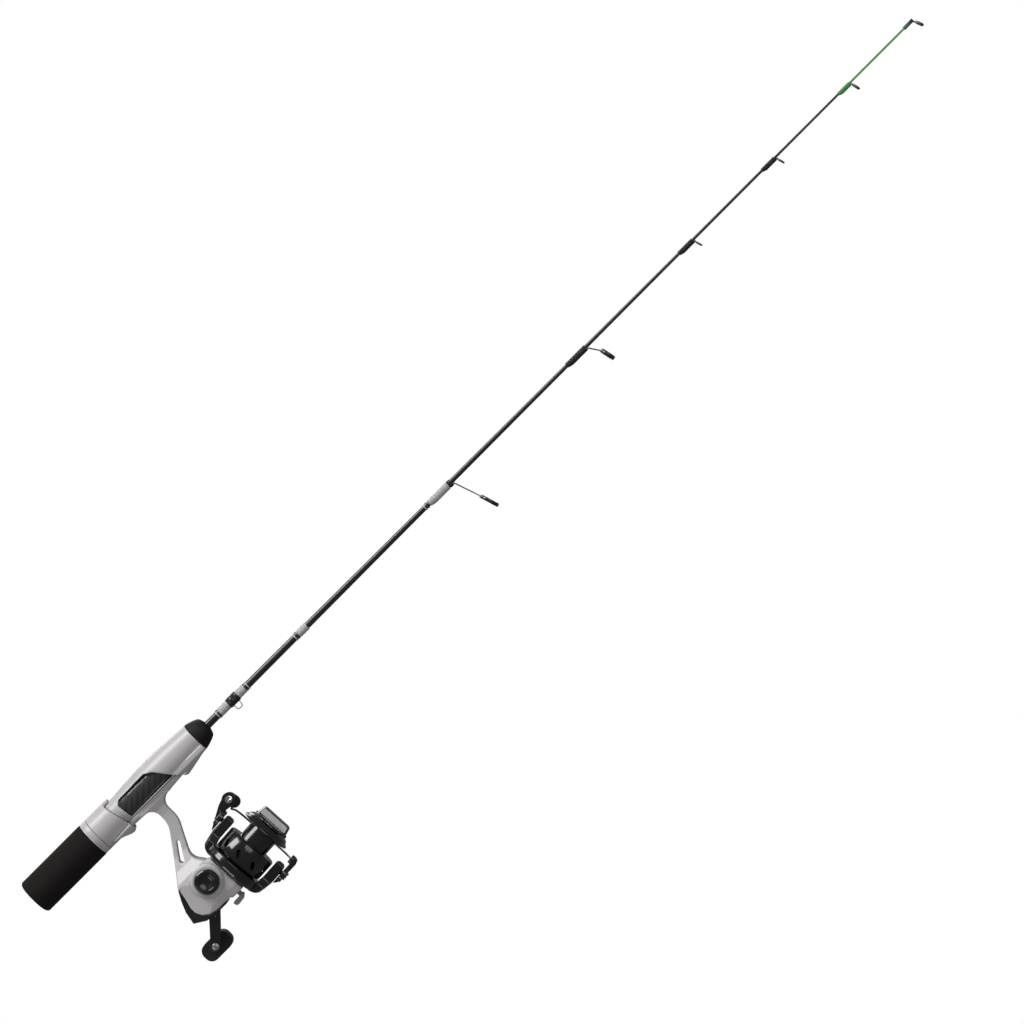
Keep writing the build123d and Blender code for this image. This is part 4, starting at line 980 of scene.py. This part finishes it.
def hinge_place(joint: str) -> Matrix:
    """Place whose X axis is a joint's axis.

    Args:
        joint: The joint's name.

    Returns:
        The place, at the joint's position.
    """
    found = next(j for j in frame["joints"] if j["name"] == joint)
    ahead = Vector(found["axis"]).normalized()
    aside = Vector((0.0, 1.0, 0.0))
    turn = Matrix((ahead, aside, ahead.cross(aside))).transposed().to_4x4()
    return Matrix.Translation(found["pos_m"]) @ turn


def reel_place() -> Matrix:
    """Place whose X axis is the spool's, from the point of it below the gear's axis.

    Returns:
        The place.
    """
    turn = hinge_place("rotor_spin")
    ahead = turn.to_3x3().col[0]
    steps = (GEAR_CENTRE[0] - turn.translation.x) / ahead.x
    return Matrix.Translation(ahead * steps) @ turn


# Sub-assemblies


class Part:
    """What every sub-assembly does with a finished mesh."""

    def __init__(self, finishes: dict[str, bpy.types.Material]) -> None:
        """Keeps the finishes."""
        self.finishes = finishes

    def show(
        self, name: str, mesh: bpy.types.Mesh, body: str, slot: str, *nodes: str, finish: str | None = None
    ) -> bpy.types.Object:
        """Adds a piece.

        Args:
            name: The piece's name.
            mesh: Its mesh, in the row's frame.
            body: The CAD body it moves with.
            slot: The record's material slot.
            *nodes: The CAD nodes it stands for.
            finish: The finish where it isn't the slot's own.

        Returns:
            The piece.
        """
        piece = bpy.data.objects.new(name, mesh)
        mesh.name = name
        mesh.materials.clear()
        mesh.materials.append(self.finishes[finish or slot])
        mesh.polygons.foreach_set("material_index", [0] * len(mesh.polygons))
        bpy.context.scene.collection.objects.link(piece)
        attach(piece, body)
        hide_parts(*nodes)
        log.info("%s: %d faces on %s", name, len(mesh.polygons), body)
        return piece


@dataclass
class Handle(Part):
    """Foam grip, lock nut, hood, seat, carbon barrel and nose cone."""

    finishes: dict[str, bpy.types.Material]
    foam_round: float = 1.6 * MM
    dome: float = 0.5 * MM
    bead: float = 0.35 * MM
    barrel_sides: int = 160
    seat_voxel: float = 0.36 * MM
    hood_voxel: float = 0.30 * MM

    def build(self) -> None:
        """Makes every piece of the handle."""
        self.show("foam_grip", self.grip(), "grip", "foam", "rear_grip")
        self.show("grip_lock_nut", self.nut(), "grip", "white_plastic", "lock_nut")
        hood = softened(["locking_hood"], self.hood_voxel, 6)
        self.show("hood_shell", hood, "hood", "white_plastic", "locking_hood")
        seat = softened(["seat_body"], self.seat_voxel, 6)
        self.show("seat_shell", seat, "rod", "white_plastic", "seat_body")
        self.show("weave_barrel", self.barrel(), "rod", "carbon_weave", "carbon_barrel")
        self.show("nose_cap", self.nose(), "rod", "nose_rubber", "nose_cone")

    def grip(self) -> bpy.types.Mesh:
        """Foam grip with a slightly domed end.

        Returns:
            The mesh, in the row's frame.
        """
        e = extent("rear_grip")
        nut = extent("lock_nut")
        bore = self.nut_tube() + 0.02 * MM
        wall = nut.start - 0.1 * MM
        outline = [
            (e.start, 0.0), (e.start + 0.1 * self.dome, 0.5 * e.radius),
            (e.start + self.dome, e.radius - 1.2 * MM), (e.start + self.dome + 1.2 * MM, e.radius),
            (e.end, e.radius), (e.end, bore), (wall, bore), (wall, 0.0),
        ]
        return turned(rounded(outline, self.foam_round, 6), sides=128)

    def nut_tube(self) -> float:
        """Radius of the lock nut's tube inside the grip.

        Returns:
            The radius in metres.
        """
        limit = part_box("rear_grip")[1].x - 2 * MM
        inside = [v.co for v in frame["nodes"]["lock_nut"].data.vertices if v.co.x < limit]
        return max(math.hypot(p.y, p.z) for p in inside)

    def nut(self) -> bpy.types.Mesh:
        """Collar with a bead at its rear edge, and its tube inside the grip.

        Returns:
            The mesh, in the row's frame.
        """
        e = extent("lock_nut")
        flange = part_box("rear_grip")[1].x + 0.1 * MM
        tube, inner = self.nut_tube(), e.bore
        outline = [
            (e.start, inner), (e.start, tube), (flange, tube), (flange, e.radius),
            (flange + 0.9 * MM, e.radius),
            (flange + 1.1 * MM, e.radius - self.bead), (flange + 1.4 * MM, e.radius - self.bead),
            (flange + 1.6 * MM, e.radius), (e.end, e.radius), (e.end, inner),
        ]
        return turned(rounded(outline, 0.25 * MM, 3), sides=128)

    def barrel(self) -> bpy.types.Mesh:
        """Carbon tube, wide at its front and flat over the reel's foot, with an unrolled UV map.

        Returns:
            The mesh, in the row's frame.
        """
        e = extent("carbon_barrel")
        reach = [(v.co.x, math.hypot(v.co.y, v.co.z)) for v in frame["nodes"]["carbon_barrel"].data.vertices]
        rear = max(r for x, r in reach if x < e.start + 0.1 * MM)
        step = min((x for x, r in reach if r > rear + 0.5 * MM), default=e.end - 1 * MM)
        outline = [
            (e.start, e.bore), (e.start, rear), (step, rear), (step, e.radius), (e.end, e.radius),
            (e.end, e.bore),
        ]
        mesh = turned(rounded(outline, 0.2 * MM, 2), sides=self.barrel_sides)
        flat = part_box("carbon_barrel")[0].z
        for vertex in mesh.vertices:
            vertex.co.z = max(vertex.co.z, flat)
        return shaded(mesh)

    def nose(self) -> bpy.types.Mesh:
        """Nose cone: a steady taper, a shoulder and a short lip on the blank.

        Returns:
            The mesh, in the row's frame.
        """
        e = extent("nose_cone")
        outline = [
            (e.start, e.bore), (e.start, e.radius - 0.2 * MM), (e.start + 0.8 * MM, e.radius),
            (e.end - 4.6 * MM, 0.84 * e.radius), (e.end - 1.9 * MM, 0.70 * e.radius),
            (e.end - 1.1 * MM, 0.58 * e.radius), (e.end - 0.3 * MM, e.bore + 0.8 * MM), (e.end, e.bore),
        ]
        return turned(rounded(outline, 0.8 * MM, 5), sides=96)


@dataclass
class Blank(Part):
    """Rod blank, its tip section, trim rings and thread wraps."""

    finishes: dict[str, bpy.types.Material]
    sides: int = 40
    thread_r: float = 0.17 * MM
    thread_pitch: float = 0.27 * MM
    keeper_wire: float = 0.33 * MM
    keeper_half: float = 2.3 * MM
    wraps: Recipe = field(default_factory=wrap_recipe)
    wires: Recipe = field(default_factory=wire_recipe)

    def build(self) -> None:
        """Makes every piece of the blank."""
        self.show("painted_blank", self.taper("rod_blank"), "rod", "black_blank", "rod_blank")
        self.show("painted_tip", self.taper("tip_section"), "rod", "green_blank", "tip_section")
        self.show("pale_trim_rings", self.rings("pale_rings"), "rod", "pale_trim", "pale_rings")
        self.show("grey_trim_rings", self.rings("grey_rings"), "rod", "grey_trim", "grey_rings")
        for name, node, slot in (
            ("white_whipping", "white_wraps", "white_thread"),
            ("black_whipping", "black_wraps", "black_thread"),
            ("green_whipping", "green_wrap", "green_thread"),
        ):
            self.show(name, self.whipping(node, slot), "rod", slot, node)
        self.show("keeper_loop", self.keeper(), "rod", "steel", "hook_keeper")

    def keeper(self) -> bpy.types.Mesh:
        """Hook keeper: a wire under the blank, bent down into a small loop.

        Returns:
            The mesh, in the row's frame.
        """
        low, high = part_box("hook_keeper")
        middle = (low.x + high.x) / 2
        top, bottom = high.z - self.keeper_wire, low.z + self.keeper_wire
        near, far = self.keeper_half, 0.8 * self.keeper_half
        points = [
            (low.x, 0.0, top), (middle - near, 0.0, top), (middle - far, 0.0, bottom),
            (middle + far, 0.0, bottom), (middle + near, 0.0, top), (high.x, 0.0, top),
        ]
        path = chain(points, [0.6 * MM, 1.2 * MM, 1.2 * MM, 0.6 * MM])
        return shaded(self.wires.make(path, self.finishes["steel"], Wire_radius=self.keeper_wire))

    def stations(self, node: str) -> list[tuple[float, float]]:
        """(x, radius) of a turned node's outside from rear to front, without the floor of its socket.

        Args:
            node: The CAD node.

        Returns:
            The stations, from the rear.
        """
        widest: dict[float, float] = {}
        for v in frame["nodes"][node].data.vertices:
            x = round(v.co.x, 5)
            widest[x] = max(widest.get(x, 0.0), math.hypot(v.co.y, v.co.z))
        kept: list[tuple[float, float]] = []
        for x, r in sorted(widest.items()):
            if not kept or r > 0.7 * kept[-1][1]:
                kept.append((x, r))
        return kept

    def taper(self, node: str) -> bpy.types.Mesh:
        """The blank or its tip, turned along its own taper."""
        outside = [(x, r) for x, r in self.stations(node) if r > 1e-6]
        return turned([(outside[0][0], 0.0), *outside, (outside[-1][0], 0.0)], sides=self.sides)

    def islands(self, node: str) -> list[tuple[float, float, float, float]]:
        """Start, end, upper radius and lowest reach of each separate sleeve of a node.

        Args:
            node: The CAD node.

        Returns:
            One row for each sleeve, from the rear.
        """
        data = frame["nodes"][node].data
        triangles = [[data.vertices[i].co for i in p.vertices] for p in data.polygons]
        spans = sorted((min(c.x for c in t), max(c.x for c in t)) for t in triangles)
        merged: list[list[float]] = []
        for low, high in spans:
            if merged and low <= merged[-1][1] + 1e-5:
                merged[-1][1] = max(merged[-1][1], high)
            else:
                merged.append([low, high])
        corners = [c for t in triangles for c in t]
        made = []
        for low, high in merged:
            inside = [c for c in corners if low - 1e-6 <= c.x <= high + 1e-6]
            made.append((low, high, max(c.z for c in inside), -min(c.z for c in inside)))
        return made

    def rings(self, node: str) -> bpy.types.Mesh:
        """Trim rings with rounded edges.

        Args:
            node: The CAD node.

        Returns:
            The mesh, in the row's frame.
        """
        meshes = []
        for low, high, top, _ in self.islands(node):
            outline = [(low, top - 0.5 * MM), (low, top), (high, top), (high, top - 0.5 * MM)]
            meshes.append(turned(rounded(outline, 0.18 * MM, 3), sides=48))
        return joined(meshes)

    def whipping(self, node: str, slot: str) -> bpy.types.Mesh:
        """Thread wound over each sleeve of a node.

        Args:
            node: The CAD node.
            slot: The slot of the thread.

        Returns:
            The mesh, in the row's frame.
        """
        meshes = []
        start = chain([(0.0, 0.0, 0.0), (MM, 0.0, 0.0)])
        for low, high, top, under in self.islands(node):
            length = high - low - 2 * self.thread_r
            radius = top - self.thread_r
            mesh = self.wraps.make(
                start, self.finishes[slot], Length=length, Radius=radius, Turns=length / self.thread_pitch,
                Thread_radius=self.thread_r, Foot_bulge=max(0.0, under / top - 1.0),
            )
            mesh.transform(Matrix.Translation((low + self.thread_r, 0.0, 0.0)))
            meshes.append(mesh)
            core = top - 0.25 * MM
            bed = [(low, 0.4 * core), (low, core), (high, core), (high, 0.4 * core)]
            meshes.append(turned(bed, sides=32))
        return joined(meshes)


@dataclass
class Guides(Part):
    """Line guides and the tip-top."""

    finishes: dict[str, bpy.types.Material]
    slots: tuple[str, ...] = ("black_wire", "black_wire", "grey_wire", "grey_wire", "grey_wire")
    inserts: tuple[int, ...] = (1, 2)

    def build(self) -> None:
        """Makes every guide."""
        for number, slot in enumerate(self.slots, 1):
            node = f"guide_frame_{number}"
            self.show(f"guide_wire_{number}", welded([node]), "rod", slot, node)
        for number in self.inserts:
            node = f"guide_ring_{number}"
            self.show(f"guide_eye_{number}", welded([node]), "rod", "ring_ceramic", node)
        self.show("tip_eye", welded(["tip_top"]), "rod", "grey_wire", "tip_top")


@dataclass
class ReelBody(Part):
    """White housing and side plate, black rear cover and cap, lever and screws."""

    finishes: dict[str, bpy.types.Material]
    case_voxel: float = 0.46 * MM
    plate_voxel: float = 0.36 * MM
    cover_voxel: float = 0.24 * MM
    lever_voxel: float = 0.18 * MM
    dish: float = 1.0 * MM

    def build(self) -> None:
        """Makes every piece of the reel's body."""
        white, black = "white_plastic", "black_plastic"
        case = softened(["reel_housing"], self.case_voxel, 6)
        self.show("gear_case", case, "rod", white, "reel_housing", finish="case_white")
        plate = softened(["side_plate"], self.plate_voxel, 5)
        self.show("case_side_plate", plate, "rod", white, "side_plate", finish="case_white")
        cover = softened(["rear_cover"], self.cover_voxel, 5)
        self.show("case_rear_cover", cover, "rod", black, "rear_cover", finish="cover_black")
        self.show("dished_cap", self.cap(), "rod", black, "side_cap")
        lever = softened(["anti_reverse_lever"], self.lever_voxel, 4)
        self.show("flip_lever", lever, "lever", "lever_grey", "anti_reverse_lever")
        self.show("side_plate_screws", welded(["plate_screws"]), "rod", "steel", "plate_screws")

    def cap(self) -> bpy.types.Mesh:
        """Black cap with a raised rim, a step and a shallow cone in its middle.

        Returns:
            The mesh, in the row's frame.
        """
        place = along_y(GEAR_CENTRE[0], GEAR_CENTRE[2])
        e = extent("side_cap", place)
        front = e.start
        outline = [
            (front + 2.2 * self.dish, 0.0), (front + 1.5 * self.dish, 2.6 * MM),
            (front + 1.3 * self.dish, 3.0 * MM), (front + 0.6 * self.dish, 4.8 * MM),
            (front + 0.1 * self.dish, 5.3 * MM), (front, 5.8 * MM), (front, e.radius - 1.2 * MM),
            (front + 0.5 * MM, e.radius - 0.4 * MM), (front + 1.4 * MM, e.radius),
            (e.end - 1.2 * MM, e.radius), (e.end - 1.2 * MM, e.radius - 3 * MM),
            (e.end, e.radius - 3 * MM), (e.end, 0.0),
        ]
        return turned(rounded(outline, 0.3 * MM, 3), place, 96)


@dataclass
class RotorUnit(Part):
    """Rotor, bail arms, wire, roller and their screws."""

    finishes: dict[str, bpy.types.Material]
    place: Matrix
    rotor_voxel: float = 0.36 * MM
    arm_voxel: float = 0.24 * MM
    wire_r: float = 0.65 * MM
    wires: Recipe = field(default_factory=wire_recipe)

    def build(self) -> None:
        """Makes every piece of the rotor and the bail."""
        black = "black_plastic"
        self.show("rotor_shell", softened(["rotor"], self.rotor_voxel, 5), "rotor", black, "rotor")
        self.show("bail_lever", softened(["bail_arm"], self.arm_voxel, 5), "bail", black, "bail_arm")
        lower = softened(["bail_trip_arm"], self.arm_voxel, 5)
        self.show("bail_lower_lever", lower, "bail", black, "bail_trip_arm")
        self.show("bail_wire_boss", softened(["wire_boss"], self.arm_voxel, 4), "bail", black, "wire_boss")
        self.show("bail_hoop", self.hoop(), "bail", "grey_wire", "bail_wire")
        self.show("roller_sleeve", welded(["line_roller"]), "roller", "polished_steel", "line_roller")
        self.show("roller_pin", welded(["roller_screw"]), "bail", "polished_steel", "roller_screw")
        self.show("bail_pivots", welded(["bail_hinge_screws"]), "rotor", "steel", "bail_hinge_screws")

    def hoop(self) -> bpy.types.Mesh:
        """Bail wire, bent round the front of the spool from the roller to the lower arm.

        Returns:
            The mesh, in the row's frame.
        """
        path = [
            (44.5, 4.2, 25.6), (40.8, 9.6, 24.6), (40.4, 32.3135, 21.2), (40.6, 32.3135, -21.0),
            (42.7, 1.4, -24.6),
        ]
        line = chain([tuple(c * MM for c in point) for point in path], [2.5 * MM, 11 * MM, 11 * MM])
        mesh = self.wires.make(line, self.finishes["grey_wire"], Wire_radius=self.wire_r)
        mesh.transform(self.place)
        return shaded(mesh)


@dataclass
class SpoolUnit(Part):
    """Spool with its ports, drag knob, its plates and its rim of ribs."""

    finishes: dict[str, bpy.types.Material]
    place: Matrix
    ribs: Recipe = field(default_factory=rim_recipe)
    rib_count: int = 40
    rib_r: float = 0.32 * MM
    rib_sunk: float = 0.35 * MM
    knob_voxel: float = 0.26 * MM
    cheek_voxel: float = 0.16 * MM

    def build(self) -> None:
        """Makes every piece of the spool and the drag."""
        self.show("line_spool", welded(["spool"]), "spool", "black_metal", "spool")
        self.show("drag_knob_body", self.knob(), "drag", "black_plastic", "drag_knob")
        cheeks = softened(["drag_knob_plates"], self.cheek_voxel, 3)
        self.show("drag_knob_cheeks", cheeks, "drag", "silver_plate", "drag_knob_plates")

    def knob(self) -> bpy.types.Mesh:
        """Drag knob with fine ribs around its base.

        Returns:
            The mesh, in the row's frame.
        """
        e = extent("drag_knob", self.place)
        rear, front = self.base_extent()
        rear += 0.4 * MM
        bar = [(rear, 0.0), (rear, self.rib_r), (front, self.rib_r), (front, 0.0)]
        rib = turned(rounded(bar, 0.2 * MM, 2), sides=8)
        ring = self.ribs.make(
            rib, self.finishes["black_plastic"], Count=self.rib_count, Rim_radius=e.radius - self.rib_sunk
        )
        ring.transform(self.place)
        return joined([softened(["drag_knob"], self.knob_voxel, 4), ring])

    def base_extent(self) -> tuple[float, float]:
        """Start and end, along the spool's axis, of the knob's widest band.

        Returns:
            The start and the end.
        """
        back = self.place.inverted()
        points = [back @ v.co for v in frame["nodes"]["drag_knob"].data.vertices]
        widest = max(math.hypot(p.y, p.z) for p in points)
        rim = [p.x for p in points if math.hypot(p.y, p.z) > widest - 0.6 * MM]
        return min(rim), max(rim)


@dataclass
class CrankUnit(Part):
    """Crank arm, its cap and pin, and the paddle knob."""

    finishes: dict[str, bpy.types.Material]
    arm_voxel: float = 0.32 * MM
    knob_voxel: float = 0.30 * MM

    def build(self) -> None:
        """Makes every piece of the crank."""
        arm = softened(["crank_arm"], self.arm_voxel, 5)
        self.show("crank_lever", arm, "crank", "black_metal", "crank_arm")
        self.show("crank_cover", welded(["crank_cap"]), "crank", "black_plastic", "crank_cap")
        self.show("paddle", softened(["crank_knob"], self.knob_voxel, 8), "knob", "knob_rubber", "crank_knob")
        self.show("paddle_pin", welded(["knob_pin"]), "crank", "steel", "knob_pin")


class Inside(Part):
    """Pieces that keep their CAD shape and take their slot's finish."""

    def build(self) -> None:
        """Dresses every CAD node that is still shown."""
        slots = {s["node"]: s["material_slot"] for s in frame["record"]["subparts"]}
        for name, node in frame["nodes"].items():
            if node.hide_render:
                continue
            node.data.materials.clear()
            node.data.materials.append(self.finishes[slots[name]])
            log.info("%s keeps its CAD shape", name)


# Studio


@dataclass(frozen=True)
class Softbox:
    """One area light: its place, its two sides and its power in watts."""

    name: str
    at: tuple[float, float, float]
    width: float
    height: float
    power: float


@dataclass
class Studio:
    """Camera, lights, background and floor."""

    target: Vector = field(default_factory=lambda: Vector((375.1 * MM, 0.0, -39.7 * MM)))
    distance: float = 2.5
    field_width: float = 0.6282
    roll: float = math.radians(45)
    floor_z: float = -0.80
    ambient: float = 0.16
    lit: tuple[float, float, float] = (0.22, 0.0, -0.03)
    lamps: tuple[Softbox, ...] = (
        Softbox("key", (0.15, -0.75, 1.8), 1.3, 0.9, 34.0),
        Softbox("fill", (1.25, -1.7, 0.15), 0.9, 1.4, 7.0),
        Softbox("strip", (-1.05, -0.65, -0.1), 0.25, 1.0, 3.0),
        Softbox("rim", (0.5, 1.4, 1.0), 1.2, 0.8, 8.0),
    )

    def build(self) -> None:
        """Makes the studio."""
        self.camera()
        self.background()
        self.floor()
        for lamp in self.lamps:
            self.hang(lamp)

    def camera(self) -> None:
        """Camera that looks along +Y with the rod on the frame's rising diagonal."""
        data = bpy.data.cameras.new("camera")
        data.sensor_width = 36.0
        data.lens = 36.0 * self.distance / self.field_width
        data.clip_start = 0.05
        camera = bpy.data.objects.new("camera", data)
        bpy.context.scene.collection.objects.link(camera)
        right = Vector((math.cos(self.roll), 0.0, -math.sin(self.roll)))
        up = Vector((math.sin(self.roll), 0.0, math.cos(self.roll)))
        back = right.cross(up)
        turn = Matrix((right, up, back)).transposed().to_4x4()
        camera.matrix_world = Matrix.Translation(self.target + back * self.distance) @ turn
        bpy.context.scene.camera = camera

    def background(self) -> None:
        """White background, which lights the object more softly than it shows."""
        world = bpy.data.worlds.new("studio")
        bpy.context.scene.world = world
        world.use_nodes = True
        world.node_tree.nodes.clear()
        graph = Graph(world.node_tree)
        white, tint = (1.0, 1.0, 1.0, 1.0), (1.0, 0.98, 0.985, 1.0)
        seen = graph.node("ShaderNodeBackground", None, {"Color": white, "Strength": 1.0})
        ambient = graph.node("ShaderNodeBackground", None, {"Color": tint, "Strength": self.ambient})
        ray = graph.node("ShaderNodeLightPath").out("Is Camera Ray")
        both = graph.node("ShaderNodeMixShader", None, {0: ray, 1: ambient, 2: seen})
        graph.node("ShaderNodeOutputWorld", None, {"Surface": both})
        bpy.context.scene.view_settings.view_transform = "Standard"

    def floor(self) -> None:
        """Plain pale floor, well below the rod."""
        mesh = bpy.data.meshes.new("floor")
        z = self.floor_z
        mesh.from_pydata([(-3.0, -4.0, z), (4.0, -4.0, z), (4.0, 1.0, z), (-3.0, 1.0, z)], [], [(0, 1, 2, 3)])
        floor = bpy.data.objects.new("floor", mesh)
        bpy.context.scene.collection.objects.link(floor)
        paint = Moulded("floor_paint", (0.86, 0.86, 0.86), 0.7, glow=0.45, peel=40 * MM, shade_range=0.01)
        mesh.materials.append(paint.build())
        floor.visible_diffuse = floor.visible_glossy = False  # it shows, but lights nothing
        floor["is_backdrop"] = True

    def hang(self, lamp: Softbox) -> None:
        """Adds an area light that faces the reel.

        Args:
            lamp: The light.
        """
        data = bpy.data.lights.new(lamp.name, "AREA")
        data.shape = "RECTANGLE"
        data.size, data.size_y, data.energy = lamp.width, lamp.height, lamp.power
        light = bpy.data.objects.new(lamp.name, data)
        bpy.context.scene.collection.objects.link(light)
        light.location = lamp.at
        aim = Vector(self.lit) - Vector(lamp.at)
        light.rotation_euler = aim.to_track_quat("-Z", "Y").to_euler()


def corners(box: tuple[Vector, Vector]) -> list[list[float]]:
    """A box's two corners as plain lists."""
    return [[round(c, 6) for c in corner] for corner in box]


def main() -> None:
    """Builds the studio and every sub-assembly."""
    logging.basicConfig(level=logging.INFO, format="%(message)s")
    cad_box = corners(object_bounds())
    finishes = make_finishes()
    spool_place = reel_place()
    Studio().build()
    Handle(finishes).build()
    Blank(finishes).build()
    Guides(finishes).build()
    ReelBody(finishes).build()
    RotorUnit(finishes, spool_place).build()
    SpoolUnit(finishes, spool_place).build()
    CrankUnit(finishes).build()
    Inside(finishes).build()
    {"cad": cad_box, "visual": corners(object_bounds())}


if __name__ == "__main__":
    main()
